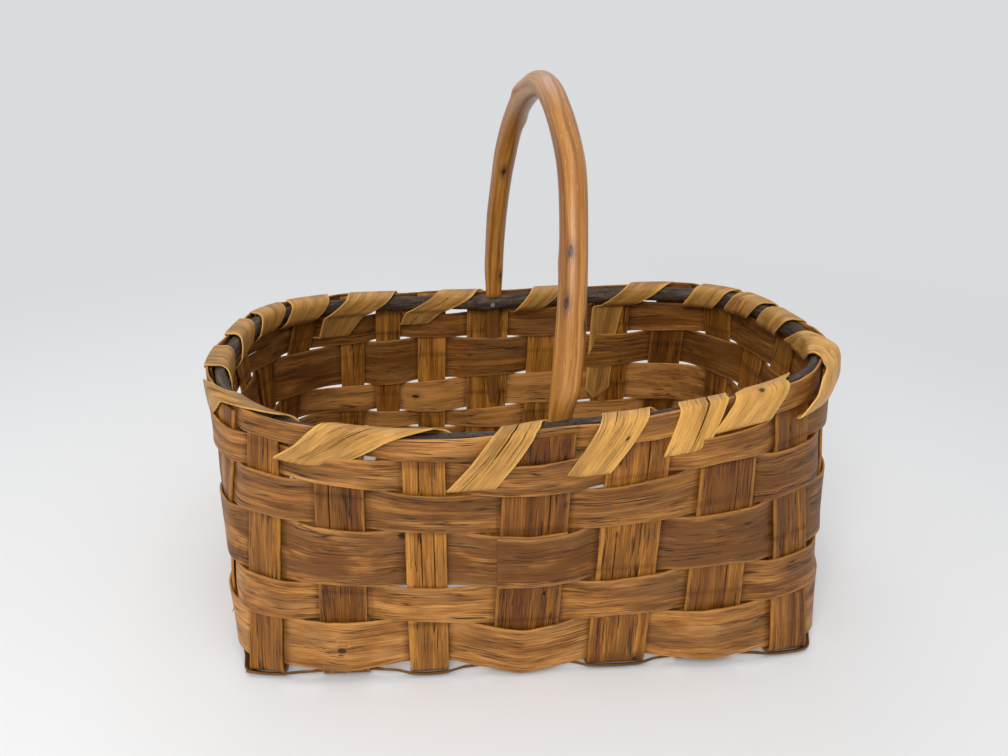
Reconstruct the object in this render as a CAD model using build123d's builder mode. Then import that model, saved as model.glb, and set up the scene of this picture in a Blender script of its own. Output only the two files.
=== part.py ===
from build123d import *
import math
import os

# An open market basket of split wood with one bentwood handle.
# The origin is the middle of the flat that it stands on, X runs along its length,
# -Y is the front and Z is up. All sizes are millimetres.

# Plan and height of the wall, measured on the middle of its thickness.
# A squareness of 2 is an ellipse and a high one is a box.
rim_length = 448.0
rim_width = 318.0
rim_squareness = 2.84
lean_of_ends = 16.0
lean_of_sides = -2.0
base_squareness = 10.0
base_offset = 6.5
wall_height = 180.0
rise_to_right = 9.5
rise_to_ends = 14.0

# Splints
stake_thickness = 1.8
weaver_thickness = 1.6
weave_gap = 0.2
edge_margin = 1.0
crossing_margin = 3.0
floor_bend = 6.0
stake_top_drop = 1.8

# Seven splints cross the floor from front to back: where each stands, left to right, in shares
# of half the length of the base for its foot and of the rim for its top
cross_front_low = [-0.846, -0.601, -0.337, -0.029, 0.274, 0.582, 0.880]
cross_front_high = [-0.759, -0.554, -0.326, 0.009, 0.263, 0.536, 0.723]
cross_back_low = [-0.712, -0.538, -0.317, -0.043, 0.221, 0.587, 0.837]
cross_back_high = [-0.625, -0.478, -0.290, -0.045, 0.219, 0.500, 0.750]
cross_front_width = [25.0, 31.0, 26.0, 43.0, 40.0, 39.0, 31.0]
cross_back_width = [23.0, 24.0, 28.0, 41.0, 33.0, 36.0, 32.0]

# Five splints run the length of the floor: where each stands, front to back, in shares of
# half the width of the base for its foot and of the rim for its top
long_left_low = [-0.671, -0.271, 0.116, 0.452, 0.735]
long_left_high = [-0.642, -0.226, 0.214, 0.541, 0.786]
long_right_low = [-0.671, -0.335, 0.0, 0.335, 0.671]
long_right_high = [-0.610, -0.302, 0.013, 0.314, 0.642]
long_left_width = [31.0, 34.0, 31.0, 28.0, 25.0]
long_right_width = [28.0, 32.0, 31.0, 32.0, 30.0]

# Rows of weaving, from the rim down: the share of the wall's height at the foot of each
# row from the second, at the front and at the back
row_gap = 0.7
rim_band_height = 16.5
lashing_slot = 2.6
row_foot_front = [0.79, 0.645, 0.418, 0.262, 0.062]
row_foot_back = [0.725, 0.485, 0.305, 0.175, 0.062]
bottom_row_sag = 3.5
packed_row = 2
# The upright that each row's two ends are lapped on, counted from the front left corner
lap_numbers = [8, 13, 20, 3, 16, 9]
gap_step = 17.0
end_joint = 1.2

# Narrow strip woven round the edge of the floor, where the splints bend up: how far round the
# bend it lies, in degrees down from level, under a cross splint, under a lengthwise one and
# inside either
base_weaver_width = 5.5
base_weaver_turn = 48.0
base_weaver_end_turn = 24.0
base_weaver_inner_turn = 66.0
base_weaver_clearance = 0.6

# Bark-covered inner rim and the strip that lashes it on
inner_rim_height = 13.0
inner_rim_thickness = 8.0
inner_rim_drop = 3.5
inner_rim_corner = 3.2
inner_rim_start = -142.0
lashing_width = 26.0
lashing_thickness = 0.9
lashing_clearance = 0.4
lashing_slot_width = 12.0
lashing_gap_numbers = [11, 10, 9, 8, 6, 5, 4, 3, 2, 0, 23, 22, 21, 20, 19, 18, 16, 14, 13]
lashing_crossing = 0.44
lashing_crossing_by_handle = 0.62
lashing_lead = 0.12
lashing_foot = 0.05
lashing_spread = 0.5
lashing_tail_width = 20.0
lashing_tail_tip = 4.0
# How far the tail lies toward the splint's edge at its tip, at the row's foot and at its top
lashing_tail_leans = [0.7, 0.5, 0.4]

# Handle
handle_diameter = 18.0
handle_front_x = 12.0
handle_back_x = -7.0
handle_rise = 195.0
handle_side_radius = 260.0
handle_shoulder = 0.3
tail_thickness = 5.0
tail_thin = 2.0
tail_width = 14.0
tail_tip_width = 8.0
tail_below_row = 0.03
rim_bulge_flat = 6.0
rim_bulge_reach = 34.0
nail_diameter = 2.2
nail_head_diameter = 4.4
nail_head_thickness = 1.0
nail_drop = 10.0
nail_clearance = 0.1

# How finely bends and hoops are divided
leg_steps = 16
bend_steps = 4
rim_steps = 72
lashing_steps = 3
standing_cut = 0.05

# Sizes that follow from the ones above
base_length = rim_length - 2 * lean_of_ends
base_width = rim_width - 2 * lean_of_sides
weave_offset = (stake_thickness + weaver_thickness) / 2 + weave_gap
band_inner_face = stake_thickness / 2 + weave_gap + weaver_thickness + weave_gap
band_outer_face = stake_thickness / 2 + weave_gap + weaver_thickness
low_layer = stake_thickness / 2 - standing_cut
middle_layer = low_layer + stake_thickness + weave_gap
high_layer = middle_layer + stake_thickness + weave_gap
slot_depth = rim_band_height + lashing_slot / 2
slot_face = stake_thickness / 2 + weave_gap
over_top = lashing_clearance + lashing_thickness / 2
outer_run = band_outer_face + over_top

os.makedirs("parts", exist_ok=True)


def mix(start, end, share):
    return start + (end - start) * share


def rim_height(x):
    """Height of the rim above the floor, which is lowest in the middle."""
    along = 2 * x / rim_length
    return wall_height + rise_to_right * along + rise_to_ends * along**2


def plan(share):
    """Half length, half width, squareness and middle of the wall's plan at a share of its height."""
    half_length = mix(base_length, rim_length, share) / 2
    half_width = mix(base_width, rim_width, share) / 2
    squareness = 1 / mix(1 / base_squareness, 1 / rim_squareness, share)
    return half_length, half_width, squareness, base_offset * (1 - share)


def wall_point(angle, share):
    """Point on the middle of the wall, by its angle about Z and its share of the height."""
    half_length, half_width, squareness, middle = plan(share)
    toward_x = math.cos(math.radians(angle))
    toward_y = math.sin(math.radians(angle))
    spread = abs(toward_x / half_length) ** squareness + abs(toward_y / half_width) ** squareness
    reach = spread ** (-1 / squareness)
    x = middle + reach * toward_x
    return Vector(x, reach * toward_y, share * rim_height(x))


def wall_frame(angle, share):
    """A wall point with its directions along the wall, out of it and up it."""
    step = 0.5
    rise = 0.01
    along = (wall_point(angle + step, share) - wall_point(angle - step, share)).normalized()
    upward = wall_point(angle, share + rise) - wall_point(angle, share - rise)
    outward = along.cross(upward).normalized()
    return wall_point(angle, share), along, outward, outward.cross(along)


def angle_of(point, share):
    return math.degrees(math.atan2(point.Y, point.X - plan(share)[3]))


class Upright:
    """One end of a floor splint, where it stands in the wall."""

    def __init__(self, across, side, low, high, width):
        self.across = across
        self.side = side
        self.low = low * (base_length if across else base_width) / 2
        self.high = high * (rim_length if across else rim_width) / 2
        self.width = width

    def angle(self, share):
        half_length, half_width, squareness, middle = plan(share)
        place = mix(self.low, self.high, share)
        if self.across:
            depth = (1 - abs((place - middle) / half_length) ** squareness) ** (1 / squareness)
            return math.degrees(math.atan2(self.side * half_width * depth, place - middle))
        depth = (1 - abs(place / half_width) ** squareness) ** (1 / squareness)
        return math.degrees(math.atan2(place, self.side * half_length * depth))

    def edge(self, share, hand, margin=0.0):
        """Point beside the splint's middle: hand is 1 anticlockwise of it and -1 clockwise."""
        point, along, outward, upward = wall_frame(self.angle(share), share)
        return point + along * (hand * (self.width / 2 + margin))


def uprights_in_order():
    """All uprights, anticlockwise seen from above, from the left end of the front."""
    front = [
        Upright(True, -1, cross_front_low[i], cross_front_high[i], cross_front_width[i])
        for i in range(len(cross_front_low))
    ]
    right = [
        Upright(False, 1, long_right_low[i], long_right_high[i], long_right_width[i])
        for i in range(len(long_right_low))
    ]
    back = [
        Upright(True, 1, cross_back_low[i], cross_back_high[i], cross_back_width[i])
        for i in range(len(cross_back_low))
    ]
    left = [
        Upright(False, -1, long_left_low[i], long_left_high[i], long_left_width[i])
        for i in range(len(long_left_low))
    ]
    return front + right + back[::-1] + left[::-1]


uprights = uprights_in_order()
cross_count = len(cross_front_low)
long_count = len(long_left_low)
front_middle = cross_count // 2
back_middle = cross_count + long_count + cross_count // 2
tail_upright = back_middle - 2
handle_uprights = [front_middle, back_middle]


def strip(stations):
    """One bent strip through its stations, each a plane with a size along its x and its y.

    Its faces are ruled one by one, because a loft can pair the wrong corners of so thin a
    section where the strip turns sharply.
    """
    outlines = []
    for plane, size_x, size_y in stations:
        with BuildSketch(plane) as outline:
            Rectangle(size_x, size_y)
        outlines.append(outline.sketch.faces()[0])
    faces = [outlines[0], outlines[-1]]
    for here, ahead in zip(outlines, outlines[1:]):
        for edge, next_edge in zip(here.edges(), ahead.edges()):
            faces.append(Face.make_surface_from_curves(edge, next_edge))
    with BuildPart() as piece:
        add(Solid(Shell(faces)))
    return piece


def handle_frame(x, side):
    """Rim point, directions and rim height where a leg of the handle meets the wall."""
    half_length, half_width, squareness, middle = plan(1.0)
    depth = (1 - abs(x / half_length) ** squareness) ** (1 / squareness)
    return wall_frame(math.degrees(math.atan2(side * half_width * depth, x)), 1.0)


handle_legs = [handle_frame(handle_front_x, -1), handle_frame(handle_back_x, 1)]
nail_inner_end = band_inner_face + tail_thickness + weave_gap + inner_rim_thickness
nail_length = nail_inner_end + stake_thickness / 2


def with_nail_holes(piece):
    """The piece drilled for the nail beside each leg of the handle."""
    with BuildPart() as drilled:
        add(piece.part)
        for top, along, outward, upward in handle_legs:
            start = top - upward * nail_drop - outward * (nail_inner_end + nail_head_thickness)
            with BuildSketch(Plane(origin=start, x_dir=along, z_dir=outward)):
                Circle(nail_diameter / 2 + nail_clearance)
            extrude(amount=nail_length + 2 * nail_head_thickness, mode=Mode.SUBTRACT)
    return drilled


def flat_underneath(piece):
    """The piece with its lowest faces cut level at the floor that it stands on."""
    with BuildPart() as level:
        add(piece.part)
        split(bisect_by=Plane.XY, keep=Keep.TOP)
    return level


def finish(piece, name):
    piece.part.label = name
    export_step(piece.part, f"parts/{name}.step")
    print(f"{name}: {len(piece.part.solids())} solid, {piece.part.volume:.0f} mm3")


# Floor splints: each is one strip that stands in the wall on one side, bends, crosses the
# floor and stands up again on the other side.


def leg_stations(upright, floor_height):
    """Stations of one upright, from its top down and round the bend on to the floor."""
    top_share = 1 - stake_top_drop / wall_point(upright.angle(1.0), 1.0).Z
    foot_share = (floor_height + floor_bend) / rim_height(wall_point(upright.angle(0.0), 0.0).X)
    if upright.across:
        inward = Vector(0, -upright.side, 0)
        across_floor = Vector(1, 0, 0)
    else:
        inward = Vector(-upright.side, 0, 0)
        across_floor = Vector(0, 1, 0)
    stations = []
    for step in range(leg_steps + 1):
        share = mix(top_share, foot_share, step / leg_steps)
        point, along, outward, upward = wall_frame(upright.angle(share), share)
        across = along if along.dot(across_floor) > 0 else along * -1
        plane = Plane(origin=point, x_dir=across, z_dir=upward * -1)
        stations.append((plane, upright.width, stake_thickness))
    centre = Vector(point.X, point.Y, floor_height + floor_bend) + inward * floor_bend
    for step in range(1, bend_steps + 1):
        share = step / bend_steps
        turn = math.radians(90 * share)
        out_of_bend = inward * -math.cos(turn) - Vector(0, 0, math.sin(turn))
        going = inward * math.sin(turn) - Vector(0, 0, math.cos(turn))
        lying = across * (1 - share) + across_floor * share
        lying = (lying - going * lying.dot(going)).normalized()
        plane = Plane(origin=centre + out_of_bend * floor_bend, x_dir=lying, z_dir=going)
        stations.append((plane, upright.width, stake_thickness))
    return stations


def turned_back(stations):
    """The same stations in the other order, facing the other way."""
    return [
        (Plane(origin=plane.origin, x_dir=plane.x_dir, z_dir=plane.z_dir * -1), size_x, size_y)
        for plane, size_x, size_y in stations[::-1]
    ]


def crossing_point(index, crossing, hand):
    """Where a lengthwise splint meets an edge of a cross splint: x, y and its own width there."""
    front = uprights[crossing]
    back = uprights[back_middle + front_middle - crossing]
    right = uprights[cross_count + index]
    left = uprights[len(uprights) - 1 - index]
    y = (left.low + right.low) / 2
    for refinement in range(3):
        across = 0.5 + y / base_width
        x = mix(front.low, back.low, across)
        x += hand * (mix(front.width, back.width, across) / 2 + crossing_margin)
        along = 0.5 + (x - base_offset) / base_length
        y = mix(left.low, right.low, along)
    return x, y, mix(left.width, right.width, along)


def goes_below(index, crossing):
    return (index + crossing) % 2 == 1


def layer(index, crossing):
    """Height of a lengthwise splint's middle where it crosses a cross splint."""
    return low_layer if goes_below(index, crossing) else high_layer


for index in range(cross_count):
    front = leg_stations(uprights[index], middle_layer)
    back = leg_stations(uprights[back_middle + front_middle - index], middle_layer)
    splint = strip(front + turned_back(back))
    if index == front_middle:
        splint = with_nail_holes(splint)
    finish(splint, f"cross_splint_{index + 1}")

for index in range(long_count):
    left = leg_stations(uprights[len(uprights) - 1 - index], layer(index, 0))
    right = leg_stations(uprights[cross_count + index], layer(index, cross_count - 1))
    floor = []
    for crossing in range(cross_count):
        for hand in (-1, 1):
            x, y, width = crossing_point(index, crossing, hand)
            origin = (x, y, layer(index, crossing))
            plane = Plane(origin=origin, x_dir=(0, 1, 0), z_dir=(1, 0, 0))
            floor.append((plane, width, stake_thickness))
    splint = strip(left + floor + turned_back(right))
    finish(flat_underneath(splint), f"long_splint_{index + 1}")


# Rows of weaving: each is one strip that goes outside one upright and inside the next,
# all the way round, and is lapped over its own start.


def row_shares(row, angle):
    """Shares of the wall's height at the foot and the top of a row."""
    toward_back = (1 + math.sin(math.radians(angle))) / 2
    height = wall_point(angle, 1.0).Z
    band_foot = 1 - rim_band_height / height
    feet = [mix(front, back, toward_back) for front, back in zip(row_foot_front, row_foot_back)]
    if row == 0:
        return band_foot, 1.0
    top = feet[row - 2] - row_gap / height if row > 1 else 1 - (rim_band_height + lashing_slot) / height
    return feet[row - 1], top


def goes_outside(row, number):
    return (row + number) % 2 == 0


def packing(row, number):
    """How far a row stands further in, where the handle's tail or the lashing's passes under it."""
    if row == packed_row and number in handle_uprights:
        return tail_thin + weave_gap
    if row == packed_row and number == tail_upright:
        return lashing_thickness + weave_gap
    return 0.0


def sag(row, number):
    """Share of the height by which the bottom row hangs lower where it passes outside."""
    return bottom_row_sag / wall_height if row == last_row and goes_outside(row, number) else 0.0


def section_plane(low, high, along, offset):
    """Plane of a row's section, its x out of the wall and its y up, for a strip going clockwise."""
    upward = (high - low).normalized()
    outward = along.cross(upward).normalized()
    return Plane(origin=(low + high) / 2 + outward * offset, x_dir=outward, z_dir=outward.cross(upward))


def row_station(row, number, hand, extra):
    """Station of a row at one edge of an upright, flat against the upright's face."""
    upright = uprights[number]
    foot, top = row_shares(row, upright.angle(0.5))
    foot -= sag(row, number)
    middle = (foot + top) / 2
    low = upright.edge(foot, hand, edge_margin)
    high = upright.edge(top, hand, edge_margin)
    point, along, outward, upward = wall_frame(upright.angle(middle), middle)
    bow = (upright.edge(middle, hand, edge_margin) - (low + high) / 2).dot(outward)
    if goes_outside(row, number):
        offset = weave_offset + max(0.0, bow) + extra
    else:
        offset = -weave_offset + min(0.0, bow) - packing(row, number)
    return section_plane(low, high, along, offset), offset, (high - low).length


def gap_stations(row, number, leaving, entering):
    """Stations on the wall between an upright and the one before it, every few centimetres."""
    start, start_offset, start_height = leaving
    end, end_offset, end_height = entering
    share_of_height = sum(row_shares(row, 0)) / 2
    count = int((end.origin - start.origin).length / gap_step)
    first = angle_of(start.origin, share_of_height)
    last = angle_of(end.origin, share_of_height)
    if last > first:
        last -= 360
    stations = []
    for step in range(1, count):
        share = step / count
        angle = mix(first, last, share)
        foot, top = row_shares(row, angle)
        foot -= mix(sag(row, number + 1), sag(row, number), share)
        low = wall_point(angle, foot)
        high = wall_point(angle, top)
        along = wall_frame(angle, (foot + top) / 2)[1]
        plane = section_plane(low, high, along, mix(start_offset, end_offset, share))
        stations.append((plane, weaver_thickness, (high - low).length))
    return stations


def row_strip(row):
    """One row, woven clockwise seen from above from its lap all the way round.

    A weaver ends lapped over its own start. The rim band ends just short of its start, where
    the lashing covers the joint.
    """
    stations = []
    leaving = None
    for turn in range(len(uprights) + 1):
        number = (lap_numbers[row] - turn) % len(uprights)
        closing = turn == len(uprights)
        extra = weaver_thickness + weave_gap if closing and row > 0 else 0.0
        entering = row_station(row, number, 1, extra)
        if leaving:
            stations += gap_stations(row, number, leaving, entering)
        if closing and row == 0:
            plane, offset, height = entering
            stations.append((plane.offset(-end_joint), weaver_thickness, height))
            break
        leaving = row_station(row, number, -1, extra)
        for plane, offset, height in (entering, leaving):
            stations.append((plane, weaver_thickness, height))
    return strip(stations)


last_row = len(lap_numbers) - 1
row_names = ["rim_band", "weaver_1", "weaver_2", "weaver_3", "weaver_4", "weaver_5"]
for row, name in enumerate(row_names):
    weaver = row_strip(row)
    if row == 0:
        weaver = with_nail_holes(weaver)
    finish(weaver, name)


# Base weaver: a narrow strip woven round the edge of the floor, outside the splints that the
# bottom row goes inside. It lies on their bends, so that it leans under the basket.


def floor_layer(number):
    """Height of a splint's middle on the floor beside the bend of an upright."""
    if number <= cross_count - 1 or cross_count + long_count <= number < 2 * cross_count + long_count:
        return middle_layer
    if number < cross_count + long_count:
        return layer(number - cross_count, cross_count - 1)
    return layer(len(uprights) - 1 - number, 0)


def bend_of(number):
    """Centre of an upright's bend, its direction out of the basket and the strip's turn and reach."""
    upright = uprights[number]
    height = floor_layer(number) + floor_bend
    share = height / wall_height
    point, along, leg_outward, upward = wall_frame(upright.angle(share), share)
    floor_outward = Vector(0, upright.side, 0) if upright.across else Vector(upright.side, 0, 0)
    centre = Vector(point.X, point.Y, height) - floor_outward * floor_bend
    if goes_outside(last_row + 1, number):
        turn = base_weaver_turn if upright.across else base_weaver_end_turn
        reach = floor_bend + stake_thickness / 2 + base_weaver_clearance + weaver_thickness / 2
    else:
        turn = base_weaver_inner_turn
        hollow = floor_bend - stake_thickness / 2 - base_weaver_clearance
        reach = math.sqrt(hollow**2 - (base_weaver_width / 2) ** 2) - weaver_thickness / 2
    leg_level = Vector(leg_outward.X, leg_outward.Y, 0).normalized()
    outward = (leg_level * (1 - turn / 90) + floor_outward * (turn / 90)).normalized()
    return centre, outward, turn, reach


def bend_plane(centre, outward, turn, reach):
    """Plane of the base weaver's section, its x out of the bend, for a strip going anticlockwise."""
    down = math.radians(turn)
    facing = outward * math.cos(down) - Vector(0, 0, math.sin(down))
    along = Vector(0, 0, 1).cross(outward)
    return Plane(origin=centre + facing * reach, x_dir=facing, z_dir=along)


def corner_stations(leaving, entering):
    """Stations between two uprights' bends, spread along the foot of the wall."""
    foot = floor_bend / wall_height
    start = leaving[0]
    end = entering[0]
    count = int((end - start).length / gap_step) + 1
    first = angle_of(start, foot)
    last = angle_of(end, foot)
    if last < first:
        last += 360
    stations = []
    for step in range(1, count):
        share = step / count
        point, along, outward, upward = wall_frame(mix(first, last, share), foot)
        level = Vector(outward.X, outward.Y, 0).normalized()
        centre = Vector(point.X, point.Y, mix(start.Z, end.Z, share)) - level * floor_bend
        turn = mix(leaving[2], entering[2], share)
        reach = mix(leaving[3], entering[3], share)
        stations.append((bend_plane(centre, level, turn, reach), weaver_thickness, base_weaver_width))
    return stations


def base_weaver_stations():
    stations = []
    leaving = None
    for turn in range(len(uprights) + 1):
        number = turn % len(uprights)
        centre, outward, down, reach = bend_of(number)
        beside = Vector(0, 0, 1).cross(outward) * (uprights[number].width / 2 + edge_margin)
        entering = (centre - beside, outward, down, reach)
        if leaving:
            stations += corner_stations(leaving, entering)
        if turn == len(uprights):
            plane = bend_plane(*entering).offset(-end_joint)
            stations.append((plane, weaver_thickness, base_weaver_width))
            break
        leaving = (centre + beside, outward, down, reach)
        for place in (entering, leaving):
            stations.append((bend_plane(*place), weaver_thickness, base_weaver_width))
    return stations


finish(strip(base_weaver_stations()), "base_weaver")


# Inner rim: a split sapling bent round the inside of the wall, its flat side to the wall.


def distance_to_handle(point):
    """Distance along X to the leg of the handle on the same side, or a long way at the ends."""
    reach = rim_length
    for x, side in ((handle_front_x, -1), (handle_back_x, 1)):
        if point.Y * side > 0:
            reach = abs(point.X - x)
    return reach


def rim_bulge(point):
    """How far the inner rim stands in to make room for the handle's tail."""
    beside = (distance_to_handle(point) - tail_width / 2 - rim_bulge_flat) / rim_bulge_reach
    share = 1 - min(1.0, max(0.0, beside))
    return (tail_thickness + weave_gap) * share * share * (3 - 2 * share)


def rim_joint_angles():
    """Where the sapling starts and ends, just apart, on the front left of the rim."""
    half_turn = math.degrees(end_joint / rim_length)
    return inner_rim_start + half_turn, inner_rim_start + 360 - half_turn


def inner_rim_stations():
    first, last = rim_joint_angles()
    stations = []
    for step in range(rim_steps + 1):
        angle = mix(first, last, step / rim_steps)
        top, along, outward, upward = wall_frame(angle, 1.0)
        offset = band_inner_face + rim_bulge(top) + inner_rim_thickness / 2
        drop = inner_rim_drop + inner_rim_height / 2
        plane = Plane(origin=top - outward * offset - upward * drop, x_dir=outward, z_dir=along * -1)
        stations.append(plane)
    return stations


with BuildPart() as inner_rim:
    for plane in inner_rim_stations():
        with BuildSketch(plane):
            RectangleRounded(inner_rim_thickness, inner_rim_height, inner_rim_corner)
    loft(ruled=True)
finish(with_nail_holes(inner_rim), "inner_rim")


# Handle: a round peeled stick bent to an arch, with each end shaved to a thin tail that is
# pushed down inside the wall, behind the band and the second row of weaving.

half_span = (handle_legs[1][0] - handle_legs[0][0]).length / 2 - band_inner_face - handle_diameter / 2
across_basket = (handle_legs[1][0] - handle_legs[0][0]).normalized()
highest_seat = rim_height(handle_front_x + handle_diameter / 2) - inner_rim_drop
spring_height = highest_seat + handle_shoulder
middle_of_span = (handle_legs[0][0] + handle_legs[1][0]) / 2
arch_origin = Vector(middle_of_span.X, middle_of_span.Y, spring_height)
flat_across = Vector(across_basket.X, across_basket.Y, 0).normalized()
arch_plane = Plane(origin=arch_origin, x_dir=flat_across, z_dir=flat_across.cross(Vector(0, 0, 1)))

side_centre = handle_side_radius - half_span
over_rise = handle_side_radius - handle_rise
radius_drop = (side_centre**2 + over_rise**2) / (2 * over_rise)
crown_radius = handle_side_radius - radius_drop
side_turn = math.degrees(math.acos(side_centre / radius_drop))


def tail_stations(leg):
    """Stations of a shaved tail, from inside the stick down to its tip."""
    top, along, outward, upward = leg
    angle = angle_of(top, 1.0)
    row_foot, row_top = row_shares(packed_row, angle)
    tip = row_shares(packed_row + 1, angle)[0] + tail_below_row
    half = handle_diameter / 2
    tuck = half - math.sqrt(half**2 - (tail_tip_width / 2 + edge_margin) ** 2)
    shoulder = 1 - inner_rim_drop / top.Z
    levels = [
        (1 + tail_width / top.Z, band_inner_face + tuck, tail_thickness, tail_tip_width + edge_margin),
        (shoulder, band_inner_face, tail_thickness, tail_width),
        (1 - slot_depth / top.Z, band_inner_face, tail_thickness, tail_width),
        (row_top, slot_face, tail_thin, tail_width),
        (row_foot, slot_face, tail_thin, tail_width - edge_margin),
        (tip, slot_face, tail_thin, tail_tip_width),
    ]
    stations = []
    for share, outer_face, thickness, width in levels:
        point = top - upward * ((1 - share) * top.Z)
        origin = point - outward * (outer_face + thickness / 2)
        stations.append((Plane(origin=origin, x_dir=along, z_dir=upward * -1), width, thickness))
    return stations


with BuildPart() as handle:
    with BuildLine(arch_plane) as arch:
        front_side = JernArc((-half_span, 0), (0, 1), handle_side_radius, -side_turn)
        crown = JernArc(front_side @ 1, front_side % 1, crown_radius, -(180 - 2 * side_turn))
        back_side = JernArc(crown @ 1, crown % 1, handle_side_radius, -side_turn)
    with BuildSketch(Plane(origin=arch.line @ 0, z_dir=arch.line % 0)):
        Circle(handle_diameter / 2)
    sweep(path=arch.line)
    for leg in handle_legs:
        add(strip(tail_stations(leg)).part)
finish(with_nail_holes(handle), "handle")


# Nails: one through the inner rim, the tail, the band and the splint at each leg.

with BuildPart() as handle_nails:
    for top, along, outward, upward in handle_legs:
        seat = top - upward * nail_drop - outward * (nail_inner_end + weave_gap)
        with BuildSketch(Plane(origin=seat, x_dir=along, z_dir=outward)):
            Circle(nail_diameter / 2)
        extrude(amount=nail_length + weave_gap)
        with BuildSketch(Plane(origin=seat, x_dir=along, z_dir=outward * -1)):
            Circle(nail_head_diameter / 2)
        extrude(amount=nail_head_thickness)
finish(handle_nails, "handle_nails")


# Lashing: one long strip wound clockwise over the inner rim and the band, through the slot
# under the band and up inside again, once for each gap that it uses.


def slot_at(gap):
    """Angle of a gap between two uprights under the band, and the width of strip it takes."""
    clockwise = uprights[gap]
    anticlockwise = uprights[(gap + 1) % len(uprights)]
    share = 1 - slot_depth / wall_height
    start = clockwise.edge(share, 1)
    end = anticlockwise.edge(share, -1)
    room = (end - start).length - 2 * edge_margin
    return angle_of((start + end) / 2, share), min(lashing_slot_width, room)


def bow_of_rim(angle, reach):
    """How far the rim's curve falls away from a straight line within a reach to either side."""
    step = 3.0
    before = wall_frame(angle - step, 1.0)
    after = wall_frame(angle + step, 1.0)
    turn = math.radians(before[1].get_angle(after[1]))
    return turn / (after[0] - before[0]).length * reach**2 / 2


def inner_face_at(angle):
    """Offset of the lashing down the inside, clear of the rim and of the nail's head."""
    point = wall_point(angle, 1.0)
    beside = math.degrees(lashing_width / rim_length)
    bulge = max(rim_bulge(wall_point(angle + hand * beside, 1.0)) for hand in (-1, 0, 1))
    head = nail_head_thickness + weave_gap if distance_to_handle(point) < lashing_width else 0.0
    bow = bow_of_rim(angle, lashing_width / 2 + edge_margin)
    return -(band_inner_face + bulge + inner_rim_thickness + head + bow + over_top + weave_gap)


def outer_bow_at(angle):
    """How far the flat of the nearest upright stands out of the rim's curve."""
    point = wall_point(angle, 1.0)
    nearest = min(uprights, key=lambda upright: (wall_point(upright.angle(1.0), 1.0) - point).length)
    return bow_of_rim(angle, nearest.width / 2 + edge_margin)


def wrap_places(start, end, crossing):
    """Places of one wrap, from one slot up inside, over the rim and down outside to the next.

    Each place is an angle round the rim, an offset out of the wall, a height and a width.
    """
    start_angle, start_width = start
    end_angle, end_width = end
    if end_angle > start_angle:
        end_angle -= 360
    inside = []
    outside = []
    for step in range(lashing_steps + 1):
        done = step / lashing_steps
        angle = mix(start_angle, end_angle, mix(lashing_foot, crossing, done))
        width = mix(start_width, lashing_width, mix(lashing_spread, 1, done))
        inside.append((angle, inner_face_at(angle), mix(-slot_depth, -inner_rim_drop, done), width))
        angle = mix(start_angle, end_angle, mix(crossing + lashing_lead, 1 - lashing_foot, done))
        width = mix(lashing_width, end_width, (1 - lashing_spread) * done)
        outside.append((angle, outer_run + outer_bow_at(angle), mix(over_top, -slot_depth, done), width))
    ridge = mix(start_angle, end_angle, crossing + lashing_lead / 2)
    return (
        [(start_angle, -slot_face, -slot_depth, start_width)]
        + inside
        + [(ridge, -band_inner_face, over_top, lashing_width)]
        + outside
        + [(end_angle, slot_face + outer_bow_at(end_angle), -slot_depth, end_width)]
    )


def lashing_stations(places):
    """A station at each place, square to the strip halfway through its turn there."""
    spots = [Vector(offset, height) for angle, offset, height, width in places]
    stations = []
    for i in range(1, len(places) - 1):
        angle, offset, height, width = places[i]
        top, along, outward, upward = wall_frame(angle, 1.0)
        arriving = (spots[i] - spots[i - 1]).normalized()
        leaving = (spots[i + 1] - spots[i]).normalized()
        going = (arriving + leaving).normalized()
        origin = top + outward * offset + upward * height
        plane = Plane(origin=origin, x_dir=along, z_dir=outward * going.X + upward * going.Y)
        stations.append((plane, width, lashing_thickness / going.dot(arriving)))
    return stations


def lashing_tail_stations():
    """Stations of the strip's pointed start, tucked down the back between a splint and a row."""
    upright = uprights[tail_upright]
    angle = upright.angle(1.0)
    row_foot, row_top = row_shares(packed_row, angle)
    tip = row_shares(packed_row + 1, angle)[0] + tail_below_row
    shares = [tip, row_foot, row_top]
    widths = [lashing_tail_tip, lashing_tail_width, lashing_tail_width]
    stations = []
    for share, lean, width in zip(shares, lashing_tail_leans, widths):
        point, along, outward, upward = wall_frame(upright.angle(share), share)
        origin = upright.edge(share, lean) - outward * (slot_face + lashing_thickness / 2)
        stations.append((Plane(origin=origin, x_dir=along, z_dir=upward), width, lashing_thickness))
    return stations, angle_of(upright.edge(1.0, lashing_tail_leans[-1]), 1.0)


tail, tail_angle = lashing_tail_stations()
slots = [slot_at(gap) for gap in lashing_gap_numbers]
starts = [(tail_angle, lashing_tail_width)] + slots
crossings = [lashing_crossing] * len(slots)
crossings[lashing_gap_numbers.index(front_middle) + 1] = lashing_crossing_by_handle
places = []
for start, end, crossing in zip(starts, slots, crossings):
    places += wrap_places(start, end, crossing)
rim_lashing = strip(tail + lashing_stations(places))
finish(rim_lashing, "rim_lashing")
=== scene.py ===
import math

import bmesh
import bpy
import numpy as np
from mathutils import Matrix, Vector


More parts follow.
